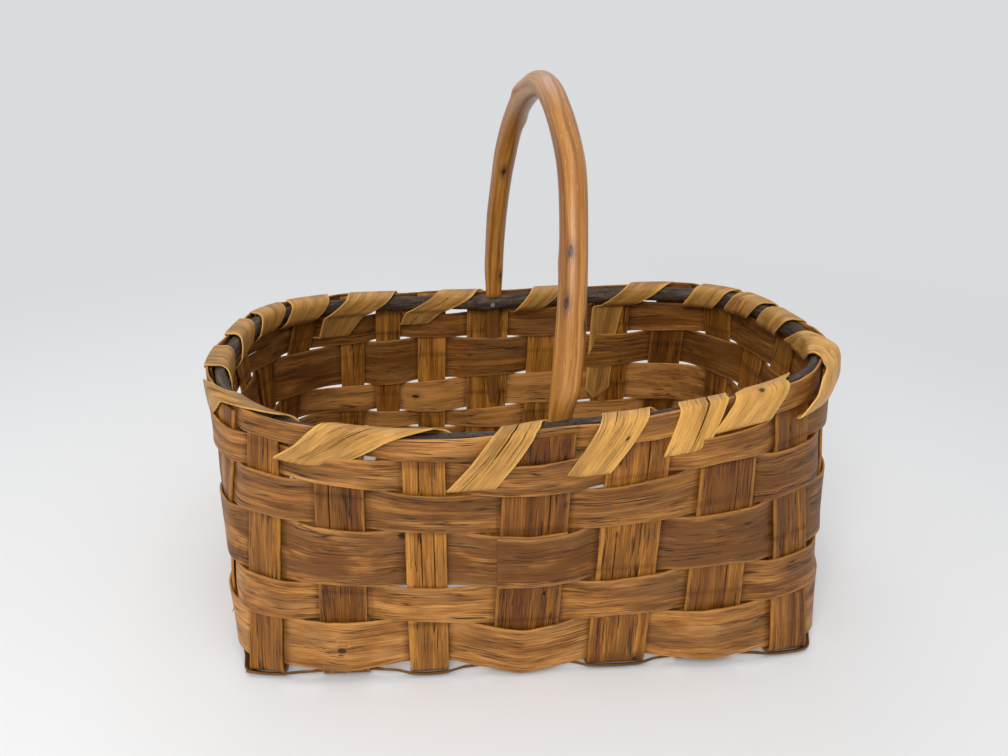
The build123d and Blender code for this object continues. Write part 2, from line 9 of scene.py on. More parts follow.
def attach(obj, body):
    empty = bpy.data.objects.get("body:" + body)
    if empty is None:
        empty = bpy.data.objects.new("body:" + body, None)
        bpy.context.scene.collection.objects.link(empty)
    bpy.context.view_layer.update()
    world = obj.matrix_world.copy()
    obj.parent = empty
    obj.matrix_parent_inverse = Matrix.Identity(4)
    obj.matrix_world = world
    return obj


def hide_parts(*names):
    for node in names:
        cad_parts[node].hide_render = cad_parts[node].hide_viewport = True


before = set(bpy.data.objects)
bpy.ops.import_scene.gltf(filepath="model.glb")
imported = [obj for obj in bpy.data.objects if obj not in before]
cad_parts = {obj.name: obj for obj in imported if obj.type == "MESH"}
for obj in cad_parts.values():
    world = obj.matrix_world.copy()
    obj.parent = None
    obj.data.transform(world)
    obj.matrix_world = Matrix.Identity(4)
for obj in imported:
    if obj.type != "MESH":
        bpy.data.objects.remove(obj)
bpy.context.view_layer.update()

# Camera: a phone held a little left of the basket's middle and looking down on it. The turn,
# the dip and the tilt of the view are in radians.
view_from = Vector((-0.0704, -0.5609, 0.3827))
view_turn = -0.1095
view_dip = 0.3887
view_tilt = -0.0338
view_ahead = Vector(
    (-math.sin(view_turn) * math.cos(view_dip), math.cos(view_turn) * math.cos(view_dip), -math.sin(view_dip))
)
level_right = Vector((math.cos(view_turn), math.sin(view_turn), 0))
level_down = view_ahead.cross(level_right)
view_right = math.cos(view_tilt) * level_right + math.sin(view_tilt) * level_down
view_down = math.cos(view_tilt) * level_down - math.sin(view_tilt) * level_right
bpy.ops.object.camera_add(location=view_from)
camera = bpy.context.object
facing = Matrix((view_right, -view_down, -view_ahead)).transposed()
camera.matrix_world = Matrix.Translation(view_from) @ facing.to_4x4()
camera.data.sensor_width = 36
camera.data.lens = 27.1
camera.data.clip_start = 0.01
bpy.context.scene.camera = camera
bpy.context.scene.view_settings.view_transform = "Standard"


# Floor and light: a plain pale table in a bright room, with a soft lamp at the front left, one
# above and one behind. Away from the basket the camera sees the table fade into the pale room.
table_size = 12
table_color = (0.80, 0.795, 0.785, 1)
fade_start = 0.45
fade_end = 1.5
room_color = (0.70, 0.71, 0.72, 1)
room_light_color = (0.93, 0.96, 1.0, 1)
room_light_strength = 0.60
lamp_target = Vector((0, 0, 0.1))
# Where each lamp hangs, its size and its power
lamps = [((-0.45, -1.3, 1.15), 0.9, 17.0), ((0.0, -0.35, 1.9), 1.0, 5.0), ((-0.2, 1.4, 1.7), 1.2, 6.0)]


class Reading:
    """A number or a colour in a finish. A sum on readings adds the node that works it out."""

    def __init__(self, finish, socket):
        self.finish = finish
        self.socket = socket

    def worked(self, operation, first, second=0.0):
        return self.finish.node("ShaderNodeMath", {"operation": operation}, {0: first, 1: second})

    def __add__(self, other):
        return self.worked("ADD", self, other)

    def __radd__(self, other):
        return self.worked("ADD", other, self)

    def __sub__(self, other):
        return self.worked("SUBTRACT", self, other)

    def __rsub__(self, other):
        return self.worked("SUBTRACT", other, self)

    def __mul__(self, other):
        return self.worked("MULTIPLY", self, other)

    def __rmul__(self, other):
        return self.worked("MULTIPLY", other, self)

    def __truediv__(self, other):
        return self.worked("DIVIDE", self, other)

    def __abs__(self):
        return self.worked("ABSOLUTE", self)

    def other_output(self, output):
        """Another reading of the node that this one was read from."""
        return Reading(self.finish, self.socket.node.outputs[output])

    def rise(self, low, high):
        """0 below low and 1 above high, with a smooth step between, or falling where low is above."""
        ends = {1: low, 2: high} if low < high else {1: high, 2: low, 3: 1.0, 4: 0.0}
        return self.finish.node("ShaderNodeMapRange", {"interpolation_type": "SMOOTHSTEP"}, {0: self, **ends})


class Finish:
    """One material, made node by node. Its constants are set on the shader's own sockets."""

    def __init__(self, name, **constants):
        self.material = bpy.data.materials.new(name)
        self.material.use_nodes = True
        self.tree = self.material.node_tree
        self.shader = self.tree.nodes["Principled BSDF"]
        for socket, value in constants.items():
            self.shader.inputs[socket.replace("_", " ")].default_value = value

    def join(self, value, socket):
        if isinstance(value, Reading):
            self.tree.links.new(value.socket, socket)
        else:
            socket.default_value = value

    def node(self, kind, settings=None, inputs=None, output=0):
        """A node with its settings and its inputs, read at one of its outputs."""
        made = self.tree.nodes.new(kind)
        for name, value in (settings or {}).items():
            if name == "stops":
                ramp = made.color_ramp.elements
                while len(ramp) < len(value):
                    ramp.new(0.5)
                for element, (place, color) in zip(ramp, value):
                    element.position = place
                    element.color = (*color, 1.0)
            else:
                setattr(made, name, value)
        for socket, value in (inputs or {}).items():
            self.join(value, made.inputs[socket])
        return Reading(self, made.outputs[output])

    def blend(self, share, first, second):
        """Two colours mixed by a share."""
        first, second = [value if isinstance(value, Reading) else (*value, 1.0) for value in (first, second)]
        return self.node("ShaderNodeMix", {"data_type": "RGBA"}, {0: share, 6: first, 7: second}, 2)

    def finished(self, color, roughness, height, depth):
        """Joins the colour, the roughness and a relief of some depth in metres to the shader."""
        relief = self.node("ShaderNodeBump", {}, {"Strength": 1.0, "Distance": depth, "Height": height})
        for value, socket in ((color, "Base Color"), (roughness, "Roughness"), (relief, "Normal")):
            self.join(value, self.shader.inputs[socket])
        return self.material


def show_mixed(tree, share, first, second, output):
    """Mixes two shaders by a share and shows the mix."""
    mix = tree.nodes.new("ShaderNodeMixShader")
    for socket, end in zip((share, first, second), mix.inputs):
        tree.links.new(socket, end)
    tree.links.new(mix.outputs[0], tree.nodes[output].inputs[0])


bpy.ops.mesh.primitive_plane_add(size=table_size)
table = bpy.context.object
table.name = "table"
pale = Finish("pale table", Base_Color=table_color, Roughness=0.8)
place = pale.node("ShaderNodeTexCoord", output=3)
away = pale.node("ShaderNodeVectorMath", {"operation": "LENGTH"}, {0: place}, 1)
seen_far = away.rise(fade_start, fade_end) * pale.node("ShaderNodeLightPath")
flat = pale.tree.nodes.new("ShaderNodeEmission")
flat.inputs["Color"].default_value = room_color
show_mixed(pale.tree, seen_far.socket, pale.shader.outputs[0], flat.outputs[0], "Material Output")
table.data.materials.append(pale.material)

room = bpy.data.worlds.new("room")
bpy.context.scene.world = room
room.use_nodes = True
room_nodes = room.node_tree.nodes
room_light = room_nodes["Background"]
room_light.inputs["Color"].default_value = room_light_color
room_light.inputs["Strength"].default_value = room_light_strength
seen_room = room_nodes.new("ShaderNodeBackground")
seen_room.inputs["Color"].default_value = room_color
seen = room_nodes.new("ShaderNodeLightPath").outputs["Is Camera Ray"]
show_mixed(room.node_tree, seen, room_light.outputs[0], seen_room.outputs[0], "World Output")

for lamp_place, lamp_size, lamp_power in lamps:
    bpy.ops.object.light_add(type="AREA", location=lamp_place)
    lamp = bpy.context.object
    lamp.data.size = lamp_size
    lamp.data.energy = lamp_power
    lamp.rotation_euler = (lamp_target - Vector(lamp_place)).to_track_quat("-Z", "Y").to_euler()


# Floor splints: seven splints across the floor and five along it, split from a log by hand.
# Each runs up one wall, bends, crosses the floor over and under the others and runs up again.
rim_length = 0.448
rim_width = 0.318
rim_squareness = 2.84
base_length = 0.416
base_width = 0.322
base_squareness = 10.0
base_offset = 0.0065
wall_height = 0.180
rise_to_right = 0.0095
rise_to_ends = 0.014
# How much higher than that the rim is along the front, by angle in degrees
rim_lift_angles = [-180, -150, -120, -95, -80, -64, -50, -35, -15, 5, 180]
rim_lifts = [0.0, 0.0, 0.0, 0.0015, 0.005, 0.0085, 0.0095, 0.008, 0.003, 0.0, 0.0]

splint_thickness = 0.0018
weaver_thickness = 0.0016
weave_gap = 0.0002
floor_bend = 0.006
floor_clearance = 0.0001
# How much a splint takes on the wall's curve, how much it bows across and how far its edges curl
splint_cup = 0.3
splint_bow = 0.6
edge_curl = 0.00045
# How far past an upright's edges a row turns, and how far a row pushes an upright in or out
edge_margin = 0.001
sway_reach = 0.00045
# On the floor: how far from its bend a splint lies flat, and how far past a crossing it is level
bend_room = 0.012
crossing_margin = 0.003
# How far below the wall's top an upright ends, inside the band and outside it
top_drops = (0.0018, 0.0042)
# A strip is drawn with a point about this often along it, and with this many points across it
lattice_step = 0.0015
columns_across = 17
leg_steps = 90
bend_steps = 10

# Where the splints' middles stand in each wall, at its foot and at its top, and their widths
cross_front_low = [-0.178, -0.125, -0.070, -0.0070, 0.057, 0.121, 0.184]
cross_front_high = [-0.171, -0.124, -0.073, -0.0025, 0.059, 0.119, 0.162]
cross_back_low = [-0.148, -0.112, -0.066, -0.009, 0.046, 0.122, 0.174]
cross_back_high = [-0.140, -0.107, -0.065, -0.010, 0.049, 0.112, 0.168]
cross_front_width = [0.025, 0.031, 0.026, 0.043, 0.040, 0.039, 0.031]
cross_back_width = [0.023, 0.024, 0.028, 0.041, 0.033, 0.036, 0.032]
long_left_low = [-0.104, -0.042, 0.018, 0.070, 0.114]
long_left_high = [-0.102, -0.036, 0.034, 0.086, 0.125]
long_right_low = [-0.104, -0.052, 0.0, 0.052, 0.104]
long_right_high = [-0.097, -0.048, 0.002, 0.050, 0.102]
long_left_width = [0.031, 0.034, 0.031, 0.028, 0.025]
long_right_width = [0.028, 0.032, 0.031, 0.032, 0.030]

# The feet of the rows of weaving as shares of the wall's height, from the rim band down
row_foot_front = [0.909, 0.79, 0.645, 0.418, 0.262, 0.062]
row_foot_back = [0.909, 0.725, 0.485, 0.305, 0.175, 0.062]
row_count = len(row_foot_front)

# A vector times in_plan is its level part
up = np.array([0.0, 0.0, 1.0])
in_plan = np.array([1, 1, 0])


def unit(vectors):
    return vectors / np.linalg.norm(vectors, axis=-1, keepdims=True)


def half_turned(angle):
    """Angles in degrees, brought between -180 and 180."""
    return (angle + 180) % 360 - 180


def unwrapped(angles):
    return np.degrees(np.unwrap(np.radians(angles)))


def toward(start, end, share):
    """What lies between a start and an end, at a share of the way."""
    return start + (end - start) * share


def smooth_step(share):
    return share * share * (3 - 2 * share)


def run_along(points):
    """How far along a line of points each of them lies."""
    return np.append(0, np.cumsum(np.linalg.norm(np.diff(points, axis=0), axis=-1)))


def even_places(run, step):
    return np.linspace(0, run[-1], int(run[-1] / step))


def read_at(places, run, values):
    """Values that are known along a run, read at other places on it."""
    if values.ndim == 1:
        return np.interp(places, run, values)
    return np.stack([np.interp(places, run, column) for column in values.T], -1)


def plan(share):
    """Half length, half width, squareness and middle of the wall's plan at a share of its height."""
    half_length = toward(base_length, rim_length, share) / 2
    half_width = toward(base_width, rim_width, share) / 2
    squareness = 1 / toward(1 / base_squareness, 1 / rim_squareness, share)
    return half_length, half_width, squareness, base_offset * (1 - share)


def wall_point(angle, share):
    """Points on the middle of the wall, by their angle in degrees and share of the height."""
    angle, share = np.broadcast_arrays(np.asarray(angle, float), np.asarray(share, float))
    half_length, half_width, squareness, middle = plan(np.clip(share, 0, None))
    toward_x, toward_y = np.cos(np.radians(angle)), np.sin(np.radians(angle))
    spread = np.abs(toward_x / half_length) ** squareness + np.abs(toward_y / half_width) ** squareness
    reach = spread ** (-1 / squareness)
    x = middle + reach * toward_x
    along = 2 * x / rim_length
    height = wall_height + rise_to_right * along + rise_to_ends * along**2
    lift = np.interp(half_turned(angle), rim_lift_angles, rim_lifts) * np.clip(share, 0, None) ** 2
    return np.stack([x, reach * toward_y, share * height + lift], -1)


def wall(angle, share):
    """Wall points with the directions along the wall, anticlockwise, and out of it."""
    along = unit(wall_point(angle + 0.5, share) - wall_point(angle - 0.5, share))
    upward = wall_point(angle, share + 0.01) - wall_point(angle, share - 0.01)
    return wall_point(angle, share), along, unit(np.cross(along, upward))


def angle_at(across, side, place, share):
    """Angles of the wall at places along its front or back, or along one of its ends."""
    half_length, half_width, squareness, middle = plan(share)
    if across:
        depth = (1 - np.abs((place - middle) / half_length) ** squareness) ** (1 / squareness)
        return np.degrees(np.arctan2(side * half_width * depth, place - middle))
    depth = (1 - np.abs(place / half_width) ** squareness) ** (1 / squareness)
    return np.degrees(np.arctan2(place, side * half_length * depth))


def angle_of(points, share):
    return np.degrees(np.arctan2(points[..., 1], points[..., 0] - plan(np.clip(share, 0, None))[3]))


class Upright:
    """One end of a floor splint, where it stands in the wall: where it is at each share of the height."""

    shares = np.linspace(-0.02, 1.06, 109)

    def __init__(self, across, side, low, high, width):
        self.across, self.side, self.width = across, side, width
        self.lying = np.array([1, 0, 0] if across else [0, 1, 0], float)
        self.leaving = np.array([0, side, 0] if across else [side, 0, 0], float)
        share = np.clip(self.shares, 0, None)
        self.angles = unwrapped(angle_at(across, side, toward(low, high, share), share))
        self.middle, self.along, self.outward = wall(self.angles, self.shares)
        before, after = wall(self.angles - 3, self.shares), wall(self.angles + 3, self.shares)
        turn = np.arccos(np.clip((before[1] * after[1]).sum(-1), -1, 1))
        self.curve = turn / np.linalg.norm(after[0] - before[0], axis=-1)
        self.edge_angles, self.edge_misses = {}, {}
        for hand in (-1, 1):
            edge = self.surface(self.shares, hand * (width / 2 + edge_margin))[0]
            self.edge_angles[hand] = unwrapped(angle_of(edge, self.shares))
            self.edge_misses[hand] = edge - wall_point(self.edge_angles[hand], self.shares)

    def at(self, share, values):
        return read_at(share, self.shares, values)

    def surface(self, share, aside):
        """Points on the splint's middle at a distance aside of its centre line, and its way out."""
        share, aside = np.broadcast_arrays(np.asarray(share, float), np.asarray(aside, float))
        along, outward = self.at(share, self.along), self.at(share, self.outward)
        cup = splint_cup * self.at(share, self.curve) * aside**2 / 2
        return self.at(share, self.middle) + along * aside[..., None] - outward * cup[..., None], outward


# All uprights, anticlockwise seen from above, from the left end of the front
uprights = []
for across, side, order, *numbers in (
    (True, -1, 1, cross_front_low, cross_front_high, cross_front_width),
    (False, 1, 1, long_right_low, long_right_high, long_right_width),
    (True, 1, -1, cross_back_low, cross_back_high, cross_back_width),
    (False, -1, -1, long_left_low, long_left_high, long_left_width),
):
    uprights += [Upright(across, side, *values) for values in zip(*numbers)][::order]


def row_side(row, number):
    """1 where a row passes outside an upright and -1 where it passes inside."""
    return 1.0 if (row + number) % 2 == 0 else -1.0


def sway(number, share):
    """How far an upright is pushed in by the rows outside it and out by the rows inside it."""
    feet = (np.array(row_foot_front) + np.array(row_foot_back)) / 2
    middles = (feet + np.append(1.0, feet[:-1])) / 2
    pushes = [-row_side(row, number) for row in range(row_count)]
    return sway_reach * np.interp(share, middles[::-1], pushes[::-1])


def sampled(lattice, along, across):
    """A lattice's values at shares of its length and of its width."""
    rows, columns = lattice.shape[:2]
    i = np.clip(along * (rows - 1), 0, rows - 1.000001)
    j = np.clip(across * (columns - 1), 0, columns - 1.000001)
    i0, j0 = i.astype(int), j.astype(int)
    fi, fj = i - i0, j - j0
    if lattice.ndim == 3:
        fi, fj = fi[:, None], fj[:, None]
    near = toward(lattice[i0, j0], lattice[i0, j0 + 1], fj)
    return toward(near, toward(lattice[i0 + 1, j0], lattice[i0 + 1, j0 + 1], fj), fi)


def eased(lattice, width):
    """A lattice smoothed along its length over a number of its steps."""
    reach = int(3 * width)
    weights = np.exp(-0.5 * (np.arange(-reach, reach + 1) / width) ** 2)
    weights /= weights.sum()
    padded = np.concatenate(
        [2 * lattice[:1] - lattice[reach:0:-1], lattice, 2 * lattice[-1:] - lattice[-2:-reach - 2:-1]]
    )
    return sum(weight * padded[i : i + len(lattice)] for i, weight in enumerate(weights))


def wander(places, length, seed):
    """A smooth uneven line from -1 to 1 that changes over about a length."""
    random = np.random.default_rng(seed)
    knots = random.uniform(-1, 1, int(np.max(np.abs(places)) / length) * 2 + 8)
    at = np.asarray(places) / length + len(knots) / 2
    start = np.clip(at.astype(int), 0, len(knots) - 2)
    return toward(knots[start], knots[start + 1], smooth_step(np.clip(at - start, 0, 1)))


def split_open(mesh, cracks):
    """Splits a flat strip along its grain: each crack is a start, an end, a place across and a gap."""
    nearly = 1e-5
    bluntness = 0.7
    for start, end, place, gap in cracks:
        lines = np.array(sorted({round(vert.co.y, 6) for vert in mesh.verts}))
        line = lines[np.argmin(np.abs(lines - place))]
        on_line = {vert for vert in mesh.verts if abs(vert.co.y - line) < nearly and start < vert.co.x < end}
        edges = [edge for edge in mesh.edges if on_line.issuperset(edge.verts)]
        bmesh.ops.split_edges(mesh, edges=edges)
        for vert in mesh.verts:
            if abs(vert.co.y - line) < nearly and start < vert.co.x < end and vert.is_boundary:
                side = sum(face.calc_center_median().y - line for face in vert.link_faces)
                opening = math.sin(math.pi * (vert.co.x - start) / (end - start)) ** bluntness
                vert.co.y += math.copysign(gap / 2 * opening, side)


# How far apart in the grain two pieces with following seeds lie, along it and across it
grain_shift = (1.7, 0.37)


def grain_grid(name, length, width, columns, rows, seed, cracks=()):
    """A flat grid, split where it has cracks, whose UV map Grain is in metres along and across the
    wood. Its seed gives it a stretch of grain of its own."""
    bpy.ops.object.select_all(action="DESELECT")
    bpy.ops.mesh.primitive_grid_add(x_subdivisions=columns, y_subdivisions=rows, size=1)
    piece = bpy.context.object
    piece.name = piece.data.name = name
    piece.scale = (length, width, 1)
    bpy.ops.object.transform_apply(scale=True)
    mesh = bmesh.new()
    mesh.from_mesh(piece.data)
    split_open(mesh, cracks)
    grain = mesh.loops.layers.uv.new("Grain")
    for face in mesh.faces:
        for loop in face.loops:
            loop[grain].uv = [loop.vert.co[i] + grain_shift[i] * seed for i in range(2)]
    mesh.to_mesh(piece.data)
    mesh.free()
    piece.data.uv_layers["Grain"].active_render = True
    return piece


def read_out(items, name, size=1):
    """One value of all vertices, or of all points of an attribute, as an array."""
    values = np.empty(len(items) * size)
    items.foreach_get(name, values)
    return values.reshape(-1, size) if size > 1 else values


# The stretch of the basket over which a strip's tones, which hold painted light and shade, change, along its
# length and its width
tone_and_shade_stretch = (0.44, 0.3)
# How far a strip's edges wander, and over what length. A ragged edge has long and short bays.
edge_wander = 0.0006
edge_wander_length = 0.05
long_bay = 0.035
short_bay = 0.009
# Painted shade added over the dirt on the faces that look inside
inside_dirt_and_shade = 0.05


def wood_strip(
    name, lattice, width, thickness, seed, tones_and_shade, grime, inner_grime_and_shade=None, cracks=(), step=0.0025, across=0.002,
    ragged=0.0004, rounding=0.0004,
):
    """A strip of split wood: a grid bent over a lattice of points and given its thickness and its
    rounded edges. It carries its tone with painted light and shade in it, from 0 for dark to 1 for pale,
    which is given for the basket's front left, front right and back, how near its border a place is,
    and its grime with painted shade in crevices and under rows, which can be another on the faces
    that look inside, where a painted shade is added as well."""
    length = float(run_along(lattice[:, lattice.shape[1] // 2])[-1])
    columns, rows = max(2, round(length / step)), max(3, round(width / across))
    strip = grain_grid(name, length, width, columns, rows, seed, cracks)
    flat = read_out(strip.data.vertices, "co", 3)
    along, aside = flat[:, 0], flat[:, 1]
    inside = np.clip(1 - np.abs(aside) / (width / 2), 0, 1)
    aside = aside + edge_wander * wander(along, edge_wander_length, seed + 50) * inside
    upper, lower = [
        wander(along, long_bay, seed + first) + 0.5 * wander(along, short_bay, seed + first + 40)
        for first in (90, 170)
    ]
    aside = aside + ragged * np.clip(1 - inside * 3, 0, 1) * np.where(aside > 0, upper, lower)
    at = along / length + 0.5, aside / width + 0.5
    bent = sampled(lattice, *at)
    strip.data.vertices.foreach_set("co", bent.ravel())

    rightward, backward = [np.clip(0.5 + bent[:, i] / stretch, 0, 1) for i, stretch in enumerate(tone_and_shade_stretch)]
    values = {
        "tone": toward(toward(tones_and_shade[0], tones_and_shade[1], rightward), tones_and_shade[2], backward),
        "border": 1 - inside,
        "grime": sampled(grime, *at),
        "inner grime": sampled(grime if inner_grime_and_shade is None else inner_grime_and_shade, *at),
    }
    for label, numbers in values.items():
        strip.data.attributes.new(label, "FLOAT", "POINT").data.foreach_set("value", numbers)

    thicken = strip.modifiers.new("thickness", "SOLIDIFY")
    thicken.thickness = thickness
    thicken.offset = 0
    soften = strip.modifiers.new("edges", "BEVEL")
    soften.width = rounding
    soften.segments = 2
    soften.limit_method = "ANGLE"
    soften.angle_limit = math.radians(60)
    bpy.ops.object.modifier_apply(modifier="thickness")
    bpy.ops.object.modifier_apply(modifier="edges")
    bpy.ops.object.shade_smooth()

    attributes = strip.data.attributes
    # The faces that look inside take the inner grime and a painted shade on top
    outward = unit(read_out(strip.data.vertices, "co", 3) * in_plan + 1e-9)
    inward = np.clip(-(outward * read_out(strip.data.vertices, "normal", 3)).sum(-1), 0, 1)
    dirt_and_shade, inner_dirt_and_shade = [read_out(attributes[label].data, "value") for label in ("grime", "inner grime")]
    attributes["grime"].data.foreach_set("value", toward(dirt_and_shade, inner_dirt_and_shade + inside_dirt_and_shade, inward))
    attributes.remove(attributes["inner grime"])
    return strip


def put_in_place(piece, material, node):
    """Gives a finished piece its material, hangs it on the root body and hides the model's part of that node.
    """
    piece.data.materials.clear()
    piece.data.materials.append(material)
    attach(piece, "root")
    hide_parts(node)


class WoodFinish(Finish):
    """A finish that follows the grain of its piece. u runs along the wood and v across it, in metres."""

    def __init__(self, name, **constants):
        super().__init__(name, **constants)
        self.u = self.node("ShaderNodeSeparateXYZ", {}, {0: self.node("ShaderNodeUVMap", {"uv_map": "Grain"})})
        self.v = self.u.other_output(1)

    def grain(self, along, across, layer, detail=3.0, rough=0.55):
        """Noise drawn out along the wood: along and across are the lengths of its streaks, and its layer
        sets it apart from the other noises."""
        place = self.node("ShaderNodeCombineXYZ", {}, {0: self.u / along, 1: self.v / across, 2: layer})
        settings = {"Vector": place, "Scale": 1.0, "Detail": detail, "Roughness": rough}
        return self.node("ShaderNodeTexNoise", {}, settings)

    def spots(self, along, across, layer=0.0):
        """Distance from the nearest of many spots, strewn over the wood at about these lengths."""
        place = self.node("ShaderNodeCombineXYZ", {}, {0: self.u / along, 1: self.v / across, 2: layer})
        settings = {"Vector": place, "Scale": 1.0}
        return self.node("ShaderNodeTexVoronoi", {"voronoi_dimensions": "2D"}, settings)

    def shaded(self, shade, dark, middle, pale, reach):
        """A colour from dark to pale as a shade goes from below a half to above it."""
        stops = [(0.5 - reach, dark), (0.5, middle), (0.5 + reach, pale)]
        return self.node("ShaderNodeValToRGB", {"stops": stops}, {0: shade})


def split_wood(name, pale, middle, dark, dull, sheen, crisp, knots):
    """Aged split wood: fine long grain, short dark cracks, dull patches, grime and painted shade in its
    corners and worn varnish. Each knot is a place along and across in the grain's own metres and a
    size, and crisp is how strongly the grain stands out."""
    finish = WoodFinish(name, Coat_Roughness=0.3, Specular_IOR_Level=0.22)
    # The tone holds painted light and shade by place in the basket; the grime holds dirt and painted shade.
    tone, border, grime = [
        finish.node("ShaderNodeAttribute", {"attribute_name": label}, output=2)
        for label in ("tone", "border", "grime")
    ]
    deep = tuple(0.2 * value for value in dark)

    core = ring = 0.0
    for along, across, size in knots:
        du, dv = (finish.u - along) / (2.6 * size), (finish.v - across) / size
        near = (du * du + dv * dv).rise(2.6, 0.0)
        finish.v = finish.v + near * (finish.v - across) * 0.9
        core = core + (du * du * 2.2 + dv * dv).rise(0.62, 0.2)
        ring = ring + near
    finish.v = finish.v + (finish.grain(0.03, 0.012, 3.0, 1.0) - 0.5) * 0.0016

    band = finish.grain(0.16, 0.008, tone * 40.0, 2.0)
    streak = finish.grain(0.05, 0.0012, 7.0, 5.0, 0.68)
    fibre = finish.grain(0.018, 0.0004, 11.0, 3.0, 0.75)
    patch = finish.grain(0.05, 0.02, 17.0, 3.0, 0.6)
    shade = band * 0.34 + streak * 0.32 + fibre * 0.26 + patch * 0.08 + (tone - 0.5) * 0.22
    color = finish.shaded(shade, dark, middle, pale, 0.1 / crisp)
    dulled = finish.grain(0.075, 0.013, 19.0, 3.0, 0.6).rise(0.44, 0.66)
    worn_open = finish.grain(0.05, 0.016, 29.0, 2.0).rise(0.42, 0.6)
    dash = finish.grain(0.022, 0.0006, 23.0, 3.0, 0.6).rise(0.57, 0.65) * worn_open
    crack = finish.grain(0.11, 0.0042, 37.0, 2.0)
    crack = (1 - (abs(crack - 0.5) * 42.0).rise(0.0, 1.0)) * finish.grain(0.05, 0.01, 43.0, 1.0).rise(0.5, 0.6)
    lines = (dash * (0.7 * crisp) + crack * (0.75 * crisp) + core * 0.85).rise(0.0, 1.0)
    worn = (border + (fibre - 0.5) * 0.5).rise(0.84, 1.0)
    # The grime-and-shade attribute darkens the wood towards deep: dirt together with painted shade in crevices,
    # under rows and inside
    dirt_and_shade = (grime * (0.5 + 0.7 * patch)).rise(0.0, 1.0)
    for share, over in (
        (dulled * 0.6, dull), (ring * 0.4, dark), (lines, deep), (worn * 0.45, pale), (dirt_and_shade * 0.8, deep)
    ):
        color = finish.blend(share, color, over)
    rough = 0.50 - 0.14 * band + 0.28 * grime + 0.16 * fibre
    finish.join(0.15 * sheen * (1 - grime), finish.shader.inputs["Coat Weight"])
    height = streak * 0.42 + fibre * 0.3 - dash * 0.35 - crack * 0.8 - core * 0.5
    return finish.finished(color, rough, height, 0.0006)


splint_wood = split_wood(
    "aged splint wood", (0.54, 0.232, 0.036), (0.31, 0.11, 0.009), (0.12, 0.033, 0.001), (0.165, 0.062, 0.009),
    1.0, 1.25, [(6.5163, 1.499, 0.0022), (8.34, 1.862, 0.002)],
)

low_layer = splint_thickness / 2 + floor_clearance
middle_layer = low_layer + splint_thickness + weave_gap
high_layer = middle_layer + splint_thickness + weave_gap
cross_count = len(cross_front_low)
long_count = len(long_left_low)


def layer(index, crossing):
    """Height of a lengthwise splint's middle where it crosses a cross splint."""
    return low_layer if (index + crossing) % 2 == 1 else high_layer


def leg_spine(number, floor_height):
    """Points, ways across and ways out of one upright, from its top down and round its bend."""
    upright = uprights[number]
    top = 1 - top_drops[number % 2] / wall_point(upright.at(1.0, upright.angles), 1.0)[2]
    bend_height = floor_height + floor_bend
    shares = np.linspace(top, bend_height / wall_height, leg_steps)
    points, outward = upright.surface(shares, 0.0)
    points = points + outward * sway(number, shares)[:, None]
    across = upright.at(shares, upright.along)
    across = across * np.sign(across @ upright.lying)[:, None]
    centre = points[-1] * in_plan + up * bend_height - upright.leaving * floor_bend
    turned = np.linspace(0, 1, bend_steps)[1:, None]
    way_out = upright.leaving * np.cos(turned * math.pi / 2) - up * np.sin(turned * math.pi / 2)
    bend = np.hstack([centre + way_out * floor_bend, unit(toward(across[-1], upright.lying, turned)), way_out])
    return np.vstack([np.hstack([points, across, outward]), bend])


def splint_lattice(first, floor_points, floor_widths, last):
    """The points of a whole splint from its two legs and the points where it crosses the floor."""
    start = leg_spine(first, floor_points[0][2])
    end = leg_spine(last, floor_points[-1][2])
    lying = np.tile([*uprights[first].lying, *-up], (len(floor_points), 1))
    spine = np.vstack([start, np.hstack([floor_points, lying]), end[::-1]])
    leg_widths = [np.full(len(leg), uprights[number].width) for leg, number in ((start, first), (end, last))]
    width = np.concatenate([leg_widths[0], floor_widths, leg_widths[1]])
    run = run_along(spine[:, :3])
    places = even_places(run, lattice_step)
    points, across, outward = np.split(read_at(places, run, spine), 3, axis=1)
    width = np.interp(places, run, width)
    share = np.linspace(-0.5, 0.5, columns_across)
    aside = share * width[:, None]
    sunk = edge_curl * wander(places, 0.06, first + 400)[:, None] * (2 * share) ** 2 + splint_bow * aside**2
    lattice = points[:, None] + across[:, None] * aside[..., None] - outward[:, None] * sunk[..., None]
    return eased(lattice, 1.5), places, width


# How dirty the floor and the top of a wall are, and how much painted shade a splint gets at a row's
# foot, over what height
floor_dirt = 0.4
top_dirt = 0.1
under_row_shade = 0.5
under_row_shade_height = 0.0022


def splint_grime_and_shade(places, seed):
    """Dirt that gathers in the bends and on the floor, and painted shade under the rows."""
    down = np.minimum(places, places[-1] - places)
    height = np.clip(1 - down / wall_height, 0, 1)
    dirt_and_shade = np.where(down > wall_height * 0.97, floor_dirt, top_dirt - 0.05 * (1 - height))
    # Painted shade where the foot of each row crosses the splint
    for foot in row_foot_front[:-1]:
        away = (height - foot) * wall_height / under_row_shade_height
        dirt_and_shade = dirt_and_shade + under_row_shade * np.exp(-(away**2))
    dirt_and_shade = dirt_and_shade + 0.15 * wander(places, 0.03, seed)
    return np.repeat(np.clip(dirt_and_shade, 0, 1)[:, None], 5, axis=1)


